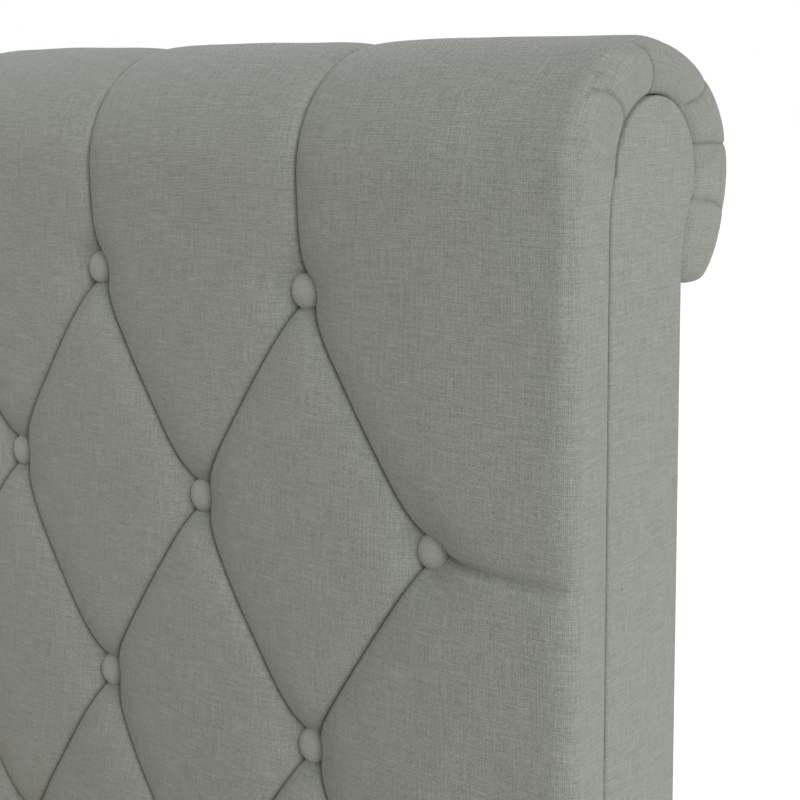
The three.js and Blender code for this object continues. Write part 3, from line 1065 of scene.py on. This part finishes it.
        top_widths, _ = lattice(n)
        bottom_level = n * tufting.rows
        start, stop = self.scroll.ends
        for run in self.even_rows(start, tufting.first_row):
            add_row(top_widths, [run] * len(top_widths))
        for level in range(n, bottom_level + 1):
            add_row(*lattice(level))
        bottom_widths, _ = lattice(bottom_level)
        for run in self.even_rows(tufting.last_row, stop)[1:] + [stop]:
            add_row(bottom_widths, [run] * len(bottom_widths))
        faces: list[list[int]] = []
        for upper, lower in zip(rows, rows[1:]):
            faces += self._between(upper, lower)
        for above, row, below_row in zip(rows, rows[1:], rows[2:]):
            if len(row) < len(above) == len(below_row):
                faces += [[above[0], below_row[0], row[0]], [below_row[-1], above[-1], row[-1]]]
        return np.array(widths), np.array(runs), faces, rows

    def _warp(self, steps: Array) -> Array:
        """Lattice steps drawn towards whole numbers, where the pleats are."""
        whole = np.floor(steps + 1e-9)
        part = steps - whole
        return whole + part - self.crowding * np.sin(2 * math.pi * part) / (2 * math.pi)

    @staticmethod
    def _between(upper: list[int], lower: list[int]) -> list[list[int]]:
        """Faces between two rows: square where they have as many vertices, slanted where they interleave."""
        if len(upper) == len(lower):
            return [[upper[i], lower[i], lower[i + 1], upper[i + 1]] for i in range(len(upper) - 1)]
        few, many = (upper, lower) if len(upper) < len(lower) else (lower, upper)
        faces = []
        for i, vertex in enumerate(few):
            faces.append([many[i], many[i + 1], vertex])
            if i + 1 < len(few):
                faces.append([vertex, many[i + 1], few[i + 1]])
        return faces

    def build(self, linen: Material) -> Piece:
        """Makes the pad.

        Args:
            linen: its finish.

        Returns:
            The closed and riding piece.
        """
        widths, runs, faces, rows = self.build_grid()
        skins = [self.front_skin(widths, runs)]
        maps = [np.stack([widths, runs], axis=1)]
        # The painted pleat shadow of each vertex, which the material reads from an attribute.
        folds = [self.tufting.fold(widths, runs, self.scroll)]
        ends = []
        for side in (-1, 1):
            edge = [row[-1 if side > 0 else 0] for row in rows]
            border = [vertex for vertex in edge if side * widths[vertex] > self.last_column - 1e-6]
            count = sum(len(skin) for skin in skins)
            ends.append(self._add_end(side, border, runs, count, faces, skins, maps, folds))
        left, right = ends
        faces += strip([row[-1] for row in left], [row[-1] for row in right])
        faces.append(left[0][::-1][:-1] + rows[0] + right[0][1:])
        faces.append(left[-1][::-1][:-1] + rows[-1] + right[-1][1:])
        name = f"{self.end.label}_tufted_pad"
        piece = new_piece(
            name, np.concatenate(skins), faces, np.concatenate(maps), linen, np.concatenate(folds)
        )
        return attach(piece, f"{self.end.label}_pad", slot="linen")

    def _add_end(
        self, side: int, border: list[int], runs: Array, count: int, faces: list, skins: list, maps: list,
        folds: list
    ) -> list[list[int]]:
        """Adds one end's skin to the pad's lists.

        Args:
            side: the sign of the end's X.
            border: the front skin's vertices along that side.
            runs: the front skin's runs.
            count: the number of vertices so far.
            faces: the faces so far, which grow.
            skins: the places so far, which grow.
            maps: the cloth coordinates so far, which grow.
            folds: the painted pleat shadow of the places so far, which grows.

        Returns:
            The end's rows of vertices, from the front skin in to the cheek panel.
        """
        columns = self.end_columns
        stations, keys = self._stations(border, runs)
        fresh = [i for i, key in enumerate(keys) if key is None]
        edge_ids = {i: key for i, key in enumerate(keys) if key is not None}
        edge_ids.update({i: count + order for order, i in enumerate(fresh)})
        share = np.linspace(0, 1, columns + 1)[1:]
        run_grid, share_grid = (grid.ravel() for grid in np.meshgrid(stations, share, indexing="ij"))
        skin = self.end_skin(side, run_grid, share_grid)
        width, between = np.full(len(fresh), side * self.last_column), stations[fresh]
        skins += [self.front_skin(width, between), skin]
        depth, drop = self.end.value * skin[:, 1] - self.seam, self.scroll.top - skin[:, 2]
        # Painted shadow along the pleats, and at two thirds of its strength along the pleats gathered at the
        # end.
        folds += [
            self.tufting.fold(width, between, self.scroll),
            0.66 * np.exp(-self.from_gathers(depth, drop) / self.gather_fold),
        ]
        maps += [
            np.stack([width, between], axis=1),
            np.stack([side * (self.last_column + share_grid * 0.05), run_grid], axis=1),
        ]
        first = count + len(fresh)
        grid = [
            [edge_ids[i]] + [first + i * columns + j for j in range(columns)] for i in range(len(stations))
        ]
        for near, far in zip(grid, grid[1:]):
            faces += strip(near, far)
        self._stitch(faces, keys, edge_ids)
        return grid

    @staticmethod
    def _stations(
        border: list[int], runs: Array, most: float = 0.0036, fine_from: float = 0.13
    ) -> tuple[Array, list[Optional[int]]]:
        """The runs of an end's rows: the border's own vertices, and fresh ones between them."""
        stations: list[float] = []
        keys: list[Optional[int]] = []
        for a, b in zip(border, border[1:]):
            fine = most * (0.4 if runs[a] < fine_from else 1.0)
            pieces = max(1, math.ceil(abs(runs[b] - runs[a]) / fine))
            for k in range(pieces):
                stations.append(runs[a] + (runs[b] - runs[a]) * k / pieces)
                keys.append(a if k == 0 else None)
        return np.array(stations + [runs[border[-1]]]), keys + [border[-1]]

    @staticmethod
    def _stitch(faces: list[list[int]], keys: list[Optional[int]], edge_ids: dict[int, int]) -> None:
        """Adds the fresh border vertices to the front skin's faces, so that no gap opens beside them."""
        between: dict[tuple[int, int], list[int]] = {}
        last, pending = 0, []
        for i, key in enumerate(keys):
            if key is None:
                pending.append(edge_ids[i])
            else:
                if pending:
                    between[(last, key)] = pending
                    between[(key, last)] = pending[::-1]
                last, pending = key, []
        ends = {vertex for pair in between for vertex in pair}
        for face in faces:
            if not ends.intersection(face):
                continue
            grown = []
            for a, b in zip(face, face[1:] + face[:1]):
                grown.append(a)
                grown += between.get((a, b), [])
            face[:] = grown

    def button_places(self) -> tuple[Array, Array]:
        """Where the buttons sit and the way they face."""
        spots = np.array(self.tufting.buttons())
        height = self.tufting.relief(spots[:, 0], spots[:, 1], self.scroll)
        places = self.world(spots[:, 0], *self.scroll.raised(spots[:, 1], height))
        origin = self.world(np.zeros(1), np.zeros(1), np.zeros(1))
        facing = self.world(np.zeros(len(spots)), *self.scroll.outward(spots[:, 1])) - origin
        return places, facing


# ---- Geometry Nodes ----


class NodeRecipe(Graph):
    """A Geometry Nodes tree built in the script and run once on a piece."""

    def __init__(self, name: str, sizes: dict[str, float]) -> None:
        """Starts a tree with a geometry input and one named input for each size."""
        super().__init__(bpy.data.node_groups.new(name, "GeometryNodeTree"))
        face = self.tree.interface
        face.new_socket("Geometry", in_out="INPUT", socket_type="NodeSocketGeometry")
        self.identifiers = {}
        for label, size in sizes.items():
            socket = face.new_socket(label, in_out="INPUT", socket_type="NodeSocketFloat")
            self.identifiers[label] = (socket.identifier, size)
        face.new_socket("Geometry", in_out="OUTPUT", socket_type="NodeSocketGeometry")
        self.entry = self.tree.nodes.new("NodeGroupInput")
        self.exit = self.tree.nodes.new("NodeGroupOutput")

    def size(self, label: str) -> Value:
        """The tree's input of that name."""
        return Value(self, self.entry.outputs[label])

    def scatter(self, shape: Node, turns: tuple[Any, Any, Any], seed: int) -> Node:
        """Stands a shape on every point of the piece, turned as the point says and then a little at random.

        Args:
            shape: the node whose result is the shape.
            turns: the most that it is turned about its X, Y and Z, to either side.
            seed: the random turns' fixed seed.

        Returns:
            The node whose result is the instances.
        """
        turn = self.node("GeometryNodeInputNamedAttribute", {"data_type": "FLOAT_VECTOR"}, {"Name": "turn"})
        stand = self.node("GeometryNodeInstanceOnPoints", {}, {
            "Points": self.entry.outputs["Geometry"],
            "Instance": shape,
            "Rotation": self.node("FunctionNodeEulerToRotation", {}, {0: turn}),
        })
        low, high = self.combine(*(turn * -1.0 for turn in turns)), self.combine(*turns)
        wobble = self.node(
            "FunctionNodeRandomValue", {"data_type": "FLOAT_VECTOR"}, {0: low, 1: high, "Seed": seed}
        )
        wobbled = self.node("FunctionNodeEulerToRotation", {}, {0: wobble})
        inputs = {"Instances": stand, "Rotation": wobbled, "Local Space": True}
        return self.node("GeometryNodeRotateInstances", {}, inputs)

    def run(self, geometry: Node, piece: Piece, material: Material) -> None:
        """Ends the tree, runs it on a piece and keeps the plain result.

        Args:
            geometry: the node whose result is realized.
            piece: the piece that carries the tree's points.
            material: the finish of what it makes.
        """
        real = self.node("GeometryNodeRealizeInstances", {}, {0: geometry})
        dressed = self.node("GeometryNodeSetMaterial", {}, {0: real, "Material": material})
        self.join(dressed, self.exit.inputs[0])
        modifier = piece.modifiers.new("recipe", "NODES")
        modifier.node_group = self.tree
        for identifier, size in self.identifiers.values():
            modifier[identifier] = size
        bake_modifiers(piece)


def oriented_points(name: str, places: Array, facing: Array, heading: Array) -> Piece:
    """Makes a piece of bare points that know which way they face.

    Args:
        name: the piece's name.
        places: one row of X, Y and Z for each point.
        facing: the direction in which each point's Z is to stand.
        heading: the direction in which each point's X is to lie.

    Returns:
        The linked object, with its turns in the attribute "turn" as Euler angles.
    """
    mesh = bpy.data.meshes.new(name)
    mesh.from_pydata(places.tolist(), [], [])
    turn = mesh.attributes.new("turn", "FLOAT_VECTOR", "POINT")
    angles = []
    for normal, along in zip(facing, heading):
        z = Vector(normal).normalized()
        x = (Vector(along) - z * Vector(along).dot(z)).normalized()
        y = z.cross(x)
        rows = ((x.x, y.x, z.x), (x.y, y.y, z.y), (x.z, y.z, z.z))
        angles += list(Matrix(rows).to_euler())
    turn.data.foreach_set("vector", angles)
    return linked(name, mesh)


@dataclass
class CoveredButtons:
    """The linen-covered buttons of one pad."""

    pad: TuftedPad
    diameter: float = 0.0268
    dome: float = 0.0096
    lift: float = 0.0054
    tilt: float = 0.09
    spin: float = 0.5
    fullness: float = 0.86
    dish: float = 0.45
    puckers: float = 14.0
    pucker_depth: float = 0.018
    seed: int = 4

    def build(self, linen: Material) -> Piece:
        """Makes every button of the pad as one piece.

        Args:
            linen: their finish.

        Returns:
            The riding piece.
        """
        places, facing = self.pad.button_places()
        places = places + facing * self.lift
        heading = np.tile([float(self.pad.end.value), 0.0, 0.0], (len(places), 1))
        piece = oriented_points(f"{self.pad.end.label}_buttons", places, facing, heading)
        sizes = {"Radius": self.diameter / 2, "Dome": self.dome, "Tilt": self.tilt}
        recipe = NodeRecipe("covered buttons", sizes)
        radius, dome, tilt = (recipe.size(label) for label in sizes)
        ball = recipe.node("GeometryNodeMeshUVSphere", {}, {"Segments": 40, "Rings": 26, "Radius": 1.0})
        x, y, z = recipe.split(recipe.node("GeometryNodeInputPosition"))
        # The upper half is a fuller dome than a sphere's; the lower half is a shallow dish.
        height = z.magnitude() ** self.fullness * dome
        halves = {0: z.above(0.0), 2: height * -self.dish, 3: height}
        lift = recipe.value("ShaderNodeMix", {"data_type": "FLOAT"}, halves)
        # The cloth is puckered round the rim.
        across = (x * x + y * y).root()
        pucker = (y.bearing(x) * self.puckers).sine() * (across ** 9.0 * self.pucker_depth)
        reach = radius * (pucker + 1.0)
        mapped = recipe.node(
            "GeometryNodeStoreNamedAttribute",
            {"data_type": "FLOAT2", "domain": "CORNER"},
            {"Geometry": ball, "Name": "UVMap", "Value": recipe.combine(x * radius, y * radius)},
        )
        shaped = {"Geometry": mapped, "Position": recipe.combine(x * reach, y * reach, lift)}
        domed = recipe.node("GeometryNodeSetPosition", {}, shaped)
        smooth = recipe.node("GeometryNodeSetShadeSmooth", {}, {"Geometry": domed})
        recipe.run(recipe.scatter(smooth, (tilt, tilt, self.spin), self.seed), piece, linen)
        return attach(piece, slot="linen")


@dataclass
class StapleRow:
    """Wire staples that hold the linen under a rail, in a straight row."""

    side: Side
    inset: float = 0.026
    margin: float = 0.03
    sunk: float = 0.0004
    spacing: float = 0.045
    crown: float = 0.0104
    wire: float = 0.0012
    slant: float = 0.22
    seed: int = 11

    def build(self, steel: Material) -> Piece:
        """Makes the row as one piece, its staples flat on the underside.

        Args:
            steel: their finish.

        Returns:
            The riding piece.
        """
        low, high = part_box(f"{self.side.label}_rail_cover")
        line = self.side.value * (max(abs(low[0]), abs(high[0])) - self.inset)
        under = low[2] - self.sunk
        start, stop = np.array([(line, low[1] + self.margin, under), (line, high[1] - self.margin, under)])
        length = float(np.linalg.norm(stop - start))
        count = int(length / self.spacing)
        shares = (np.arange(count) + 0.5) / count
        places = start + (stop - start) * shares[:, None]
        along = np.tile((stop - start) / length, (count, 1))
        down = np.tile([0.0, 0.0, -1.0], (count, 1))
        piece = oriented_points(f"{self.side.label}_staples", places, down, along)
        recipe = NodeRecipe("staples", {"Crown": self.crown, "Wire": self.wire, "Slant": self.slant})
        size = recipe.combine(recipe.size("Crown"), recipe.size("Wire"), recipe.size("Wire"))
        bar = recipe.node("GeometryNodeMeshCube", {}, {"Size": size, "Vertices X": 5})
        recipe.run(recipe.scatter(bar, (0.0, 0.0, recipe.size("Slant")), self.seed), piece, steel)
        return attach(piece, slot="steel")


# ---- Flat upholstered panels ----


@dataclass
class CheekPanel:
    """The flat fabric-covered panel on one side of an end, with its round eye."""

    pad: TuftedPad
    side: Side
    rings: int = 16
    crown: float = 0.0016
    crown_reach: float = 0.016
    round_over: float = 0.0018
    neck_end: float = 0.19
    foot_zone: float = 0.02

    def rise(self, inset: Array) -> Array:
        """How far the face stands out, by its distance from the panel's edge."""
        return rounded_rim(inset, self.round_over) + self.crown * (1 - np.exp(-inset / self.crown_reach))

    def _eye(self, reach: Array) -> tuple[Array, list[Array]]:
        """The middle of the round head, and its places along rays from the front over the top to the back."""
        scroll = self.pad.scroll
        radius = scroll.eye_radius - TOUCH
        middle = np.array([[scroll.eye_depth, scroll.eye_drop, self.rise(np.array([radius]))[0]]])
        rays = []
        for a in np.linspace(math.pi, 0, 65):
            ring = reach * radius
            depth, drop = scroll.eye_depth + ring * math.cos(a), scroll.eye_drop - ring * math.sin(a)
            rays.append(np.stack([depth, drop, self.rise(radius - ring)], axis=1))
        return middle, rays

    def _below_eye(self, reach: Array, length: float) -> list[Array]:
        """The rows of places from the eye's height down to the panel's foot."""
        scroll = self.pad.scroll
        shares = np.concatenate([-reach[::-1], [0.0], reach])
        neck, foot = self.neck_end, length - self.foot_zone
        drops = np.concatenate([
            np.linspace(scroll.eye_drop, neck, 34)[1:],
            np.linspace(neck, foot, int((length - 0.2) / 0.012))[1:],
            length - self.foot_zone * (1 - np.linspace(0, 1, 12)[1:]) ** 2,
        ])
        rows = []
        for drop, front, back in zip(drops, *scroll.flanks(drops)):
            middle, half = (front + back) / 2, (back - front) / 2
            rise = self.rise(np.minimum(half * (1 - np.abs(shares)), length - drop))
            rows.append(np.stack([middle + shares * half, np.full_like(shares, drop), rise], axis=1))
        return rows

    def build(self, linen: Material) -> Piece:
        """Makes the panel.

        Args:
            linen: its finish.

        Returns:
            The closed and riding piece.
        """
        stem = f"{self.pad.end.label}_{self.side.label}_cheek"
        low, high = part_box(stem)
        # Shares of the half width, crowded towards the edge.
        reach = 1 - (1 - np.linspace(0, 1, self.rings + 1)[1:]) ** 1.9
        middle, rays = self._eye(reach)
        rows = self._below_eye(reach, self.pad.scroll.top - low[2])
        parts = [middle] + rays + rows
        starts = np.cumsum([0] + [len(part) for part in parts])
        ids = [list(range(start, start + len(part))) for start, part in zip(starts.tolist(), parts)]
        ray_ids, row_ids = ids[1: len(rays) + 1], ids[len(rays) + 1:]
        faces: list[list[int]] = []
        for near, far in zip(ray_ids, ray_ids[1:]):
            faces.append([0, near[0], far[0]])
            faces += strip(near, far)
        rows_down = [ray_ids[0][::-1] + [0] + ray_ids[-1]] + row_ids
        for above, row in zip(rows_down, rows_down[1:]):
            faces += strip(above, row)
        front, back = [row[0] for row in row_ids], [row[-1] for row in row_ids]
        border = front[::-1] + [ray[-1] for ray in ray_ids] + back + row_ids[-1][1:-1][::-1]
        skin = np.concatenate(parts)
        rim = skin[border]
        rim[:, 2] = low[0] - high[0]
        rim_ids = list(range(len(skin), len(skin) + len(border)))
        faces += strip(border + border[:1], rim_ids + rim_ids[:1])
        faces.append(rim_ids[::-1])
        skin = np.concatenate([skin, rim])
        mirrored = self.side.value * self.pad.end.value
        places = self.pad.world(mirrored * (self.pad.half + skin[:, 2]), skin[:, 0], skin[:, 1])
        uv = np.stack([skin[:, 0] + skin[:, 2], skin[:, 1]], axis=1)
        piece = new_piece(f"{stem}_panel", places, faces, uv, linen)
        piece.data.set_sharp_from_angle(angle=math.radians(50))
        return attach(piece, stem, slot="linen")


def skinned_slab(name: str, grid: Array, uv: Array, linen: Material) -> Piece:
    """Makes a closed piece from a tube of places: each row is one closed section along its length.

    Args:
        name: the piece's name.
        grid: rows by places by X, Y and Z.
        uv: rows by places by U and V.
        linen: its finish.

    Returns:
        The piece, its two ends closed.
    """
    rows, around = grid.shape[:2]
    ids = np.arange(rows * around).reshape(rows, around).tolist()
    faces: list[list[int]] = []
    for near, far in zip(ids, ids[1:]):
        faces += strip(near + near[:1], far + far[:1])
    faces += [ids[0], ids[-1][::-1]]
    piece = new_piece(name, grid.reshape(-1, 3), faces, uv.reshape(-1, 2), linen)
    piece.data.set_sharp_from_angle(angle=math.radians(60))
    return piece


@dataclass
class RailPadding:
    """The padded linen that wraps one side rail."""

    side: Side
    swell: float = 0.0022
    top_swell: float = 0.0012
    end_tuck: float = 0.0028
    top_tuck: float = 0.0024
    soft: float = 0.0075
    turn_in: float = 0.044
    end_zone: float = 0.03
    end_round: float = 0.006

    def build(self, linen: Material) -> Piece:
        """Makes the padding.

        Args:
            linen: its finish.

        Returns:
            The closed and riding piece.
        """
        node = f"{self.side.label}_rail_cover"
        low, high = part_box(node)
        board_low, board_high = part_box(f"{self.side.label}_rail_board")
        inner, outer = sorted((abs(low[0]), abs(high[0])))
        wood_in, wood_out = sorted((abs(board_low[0]), abs(board_high[0])))
        wood_in, wood_out = wood_in - TOUCH, wood_out + TOUCH
        wood_low, wood_high = board_low[2] - TOUCH, board_high[2] + TOUCH
        top, bottom, hem = high[2], low[2], high[2] - self.turn_in
        outside = np.array(self._rounded(
            [(inner, hem), (inner, top), (outer, top), (outer, bottom), (wood_in, bottom)], self.soft
        ))
        inside = np.array([
            (wood_in, wood_low), (wood_out, wood_low), (wood_out, wood_high), (wood_in, wood_high),
            (wood_in, hem),
        ])
        steps = Scroll.lengths(outside)
        around = np.concatenate([steps, np.full(len(inside), steps[-1])])
        length, zone = high[1] - low[1], self.end_zone
        runs = np.concatenate([
            zone * np.linspace(0, 1, 12) ** 1.6,
            np.linspace(zone, length - zone, 120)[1:-1],
            length - zone * np.linspace(1, 0, 12) ** 1.6,
        ])
        on_face = np.clip((outside[:, 0] - outer + 0.004) / 0.004, 0, 1)
        over = np.sin(np.clip((outside[:, 1] - bottom) / (top - bottom), 0, 1) * math.pi) ** 0.7
        on_top = np.clip((outside[:, 1] - top + 0.004) / 0.004, 0, 1)
        rows, maps = [], []
        for run in runs:
            from_end = min(min(run, length - run) / self.end_round, 1)
            ease = math.sqrt(max(1 - (1 - from_end) ** 2, 0))
            wave = 1 + 0.12 * math.sin(run * 9.0) + 0.08 * math.sin(run * 23.0 + 1.0)
            section = outside.copy()
            section[:, 0] += self.swell * on_face * over * ease * wave - self.end_tuck * (1 - ease) * on_face
            section[:, 1] += (self.top_swell * wave * ease - self.top_tuck * (1 - ease)) * on_top
            whole = np.concatenate([section, inside])
            along = np.full(len(whole), run)
            rows.append(np.stack([self.side.value * whole[:, 0], low[1] + along, whole[:, 1]], axis=1))
            maps.append(np.stack([along, around], axis=1))
        piece = skinned_slab(f"{self.side.label}_rail_padding", np.array(rows), np.array(maps), linen)
        return attach(piece, node, slot="linen")

    @staticmethod
    def _rounded(
        corners: Sequence[tuple[float, float]], radius: float, step: float = 0.009
    ) -> list[tuple[float, float]]:
        """A line through corners, rounded and cut into short steps."""
        line = [corners[0]]
        for before, corner, after in zip(corners, corners[1:], corners[2:]):
            a, c, b = (np.array(p) for p in (before, corner, after))
            start = c + (a - c) / np.linalg.norm(a - c) * radius
            stop = c + (b - c) / np.linalg.norm(b - c) * radius
            for t in np.linspace(0, 1, 9):
                line.append(tuple((1 - t) ** 2 * start + 2 * t * (1 - t) * c + t * t * stop))
        line.append(corners[-1])
        fine = [line[0]]
        for a, b in zip(line, line[1:]):
            pieces = max(1, int(math.dist(a, b) / step))
            for share in (k / pieces for k in range(1, pieces + 1)):
                fine.append((a[0] + (b[0] - a[0]) * share, a[1] + (b[1] - a[1]) * share))
        return fine


@dataclass
class BackCover:
    """The linen-covered panel that closes the back of one end."""

    pad: TuftedPad
    crown: float = 0.0016
    crown_reach: float = 0.05
    uneven: float = 0.0003
    soft: float = 0.0022

    def build(self, linen: Material) -> Piece:
        """Makes the panel, a little fuller in the middle and drawn in at its edges.

        Args:
            linen: its finish.

        Returns:
            The closed and riding piece.
        """
        node = f"{self.pad.end.label}_back_panel"
        low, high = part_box(node)
        sign = self.pad.end.value
        near, far = sorted((sign * low[1], sign * high[1]))
        xs = self._crowded(low[0], high[0], 64)
        zs = self._crowded(low[2], high[2], 44)
        x, z = np.meshgrid(xs, zs, indexing="ij")
        inset = np.minimum(np.minimum(x - low[0], high[0] - x), np.minimum(z - low[2], high[2] - z))
        swell = self.crown * (1 - np.exp(-inset / self.crown_reach))
        face = far + rounded_rim(inset, self.soft) + swell + self.uneven * np.sin(x * 21) * np.sin(z * 17 + 1)
        front = np.stack([sign * x, sign * face, z], axis=-1).reshape(-1, 3)
        rear = np.stack([sign * x, np.full_like(x, sign * near), z], axis=-1).reshape(-1, 3)
        ids = np.arange(x.size).reshape(x.shape)
        faces: list[list[int]] = []
        for one, other in zip(ids.tolist(), ids[1:].tolist()):
            faces += strip(one, other)
        rim = np.concatenate([ids[:, 0], ids[-1, 1:], ids[::-1, -1][1:], ids[0, ::-1][1:-1]]).tolist()
        rear_rim = list(range(x.size, x.size + len(rim)))
        faces += strip(rim + rim[:1], rear_rim + rear_rim[:1])
        faces.append(rear_rim[::-1])
        vertices = np.concatenate([front, rear[rim]])
        uv = np.stack([vertices[:, 0], vertices[:, 2]], axis=1)
        piece = new_piece(f"{self.pad.end.label}_back_cover", vertices, faces, uv, linen)
        piece.data.set_sharp_from_angle(angle=math.radians(60))
        return attach(piece, node, slot="linen")

    @staticmethod
    def _crowded(start: float, stop: float, count: int) -> Array:
        """Places from start to stop, closer together at both ends."""
        t = np.linspace(0, 1, count)
        return start + (stop - start) * (t - 0.92 * np.sin(2 * math.pi * t) / (2 * math.pi))


# ---- The bare frame ----


@dataclass
class BareFrame:
    """The timber, card, steel and plastic pieces of the frame."""

    wardrobe: Wardrobe
    ease: float = 0.0015

    def dress(self, node: str, finish: str) -> None:
        """Gives a node that keeps its own solid its finish."""
        materials = bpy.data.objects[node].data.materials
        materials.clear()
        materials.append(self.wardrobe[finish])
        LOG.info("%s: its own solid, in %s", node, finish)

    def shaped(self, node: str, name: str, finish: str, slot: str, width: float, body: str = BODY) -> None:
        """Replaces a node with an eased copy of its solid."""
        piece = eased_copy(node, name, width, self.wardrobe[finish])
        report(attach(piece, node, slot=slot, body=body), node)

    def build(self) -> None:
        """Finishes every node that no upholstered piece stands for."""
        kept = {
            "bottom_rail": "pine_x",
            "top_rail": "pine_x",
            "roll_tube": "wound_card",
            "face_board": "linen_board",
        }
        for end in End:
            for kind, finish in kept.items():
                self.dress(f"{end.label}_{kind}", finish)
            self.shaped(f"{end.label}_beam_hanger", f"{end.label}_beam_cradle", "zinc_steel", "steel", 0.0007)
            for side in Side:
                stem = f"{end.label}_{side.label}"
                self.dress(f"{stem}_post", "pine_z")
                self.shaped(f"{stem}_foot", f"{stem}_block_foot", "stained_foot", "stained_wood", 0.003)
                self.shaped(f"{stem}_bracket", f"{stem}_corner_plate", "zinc_steel", "steel", 0.0009)
                for i in (1, 2):
                    self.shaped(f"{stem}_bolt_{i}", f"{stem}_flange_bolt_{i}", "zinc_steel", "steel", 0.0006)
        for side in Side:
            self.dress(f"{side.label}_rail_board", "pine_y")
            self.dress(f"{side.label}_slat_ledge", "pine_y")
        self.shaped("centre_beam", "centre_bearer", "pine_y", "pine", self.ease)
        for i in (1, 2):
            self.shaped(f"centre_leg_{i}", f"centre_prop_{i}", "pine_z", "pine", self.ease)
            self.shaped(
                f"centre_leveller_{i}", f"screw_foot_{i}", "black_plastic", "leveller_plastic", 0.0008,
                body=f"leveller_{i}",
            )
        for node in sorted(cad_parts):
            if node.startswith("slat_"):
                self.dress(node, "slat_birch")


# ---- The studio ----


@dataclass
class Studio:
    """A pale floor, soft light and the camera."""

    lens: float = 66.56
    place: Point = (1.296, 0.256, 1.175)
    heading: float = 39.36
    pitch: float = 6.21
    roll: float = -0.28
    shift: float = -0.20
    sky: float = 0.48

    def build(self) -> None:
        """Makes the floor, the lights and the camera."""
        self._floor()
        self._world()
        self._sun("key_light", (0.840, -0.290, 0.455), 3.05, 32.0)
        self._sun("fill_light", (-0.42, -0.86, 0.28), 0.80, 50.0)
        self._sun("rim_light", (-0.62, 0.68, 0.39), 0.8, 40.0)
        camera = bpy.data.cameras.new("camera")
        camera.lens = self.lens
        camera.shift_y = self.shift
        camera.clip_end = 200
        stand = linked("camera", camera)
        stand.location = self.place
        turns = ((self.heading, "Z"), (90 - self.pitch, "X"), (self.roll, "Z"))
        heading, pitch, roll = (Matrix.Rotation(math.radians(angle), 3, axis) for angle, axis in turns)
        stand.rotation_euler = (heading @ pitch @ roll).to_euler()
        bpy.context.scene.camera = stand
        bpy.context.scene.view_settings.view_transform = "Standard"

    def _floor(self) -> None:
        """Lays a wide floor under the bed."""
        mesh = bpy.data.meshes.new("studio_floor")
        far = 30.0
        mesh.from_pydata([(-far, -far, 0), (far, -far, 0), (far, far, 0), (-far, far, 0)], [], [[0, 1, 2, 3]])
        floor = linked("studio_floor", mesh)
        paint = Paint("studio_floor")
        paint.feed("Base Color", (0.90, 0.90, 0.895, 1.0))
        paint.feed("Roughness", 0.9)
        paint.feed("Emission Color", (1.0, 1.0, 1.0, 1.0))
        paint.feed("Emission Strength", 0.11)
        mesh.materials.append(paint.material)

    def _world(self) -> None:
        """Surrounds the bed with even, near-white light."""
        world = bpy.data.worlds.new("studio")
        bpy.context.scene.world = world
        world.use_nodes = True
        graph = Graph(world.node_tree)
        background = graph.tree.nodes["Background"]
        seen = graph.node("ShaderNodeLightPath").outputs["Is Camera Ray"]
        level = graph.value("ShaderNodeMapRange", {}, {"Value": seen, "To Min": self.sky, "To Max": 1.0})
        graph.join((1.0, 1.0, 1.0, 1.0), background.inputs["Color"])
        graph.join(level, background.inputs["Strength"])

    @staticmethod
    def _sun(name: str, towards: Point, power: float, spread: float) -> None:
        """Lights the bed evenly from one direction, with soft shadows."""
        light = bpy.data.lights.new(name, "SUN")
        light.energy = power
        light.angle = math.radians(spread)
        lamp = linked(name, light)
        lamp.location = Vector(towards) * 6
        lamp.rotation_euler = Vector(towards).to_track_quat("Z", "Y").to_euler()


def report(piece: Piece, node: str = "") -> None:
    """Logs a finished piece, its number of triangles and the frame's node that it copies, if any."""
    piece.data.calc_loop_triangles()
    LOG.info("%s: %d triangles%s", piece.name, len(piece.data.loop_triangles), node and f", copies {node}")


def main() -> None:
    """Builds the bed around its frame, in order, and reports each piece."""
    logging.basicConfig(level=logging.INFO, format="%(message)s")
    wardrobe = Wardrobe()
    Studio().build()
    for end, rows in ((End.HEAD, 4), (End.FOOT, 2)):
        pad = TuftedPad(end, rows)
        report(pad.build(wardrobe["linen"]))
        report(CoveredButtons(pad).build(wardrobe["linen_button"]))
        report(BackCover(pad).build(wardrobe["linen"]))
        for side in Side:
            report(CheekPanel(pad, side).build(wardrobe["linen"]))
    for side in Side:
        report(RailPadding(side).build(wardrobe["linen"]))
        report(StapleRow(side).build(wardrobe["zinc_steel"]))
    BareFrame(wardrobe).build()


if __name__ == "__main__":
    main()
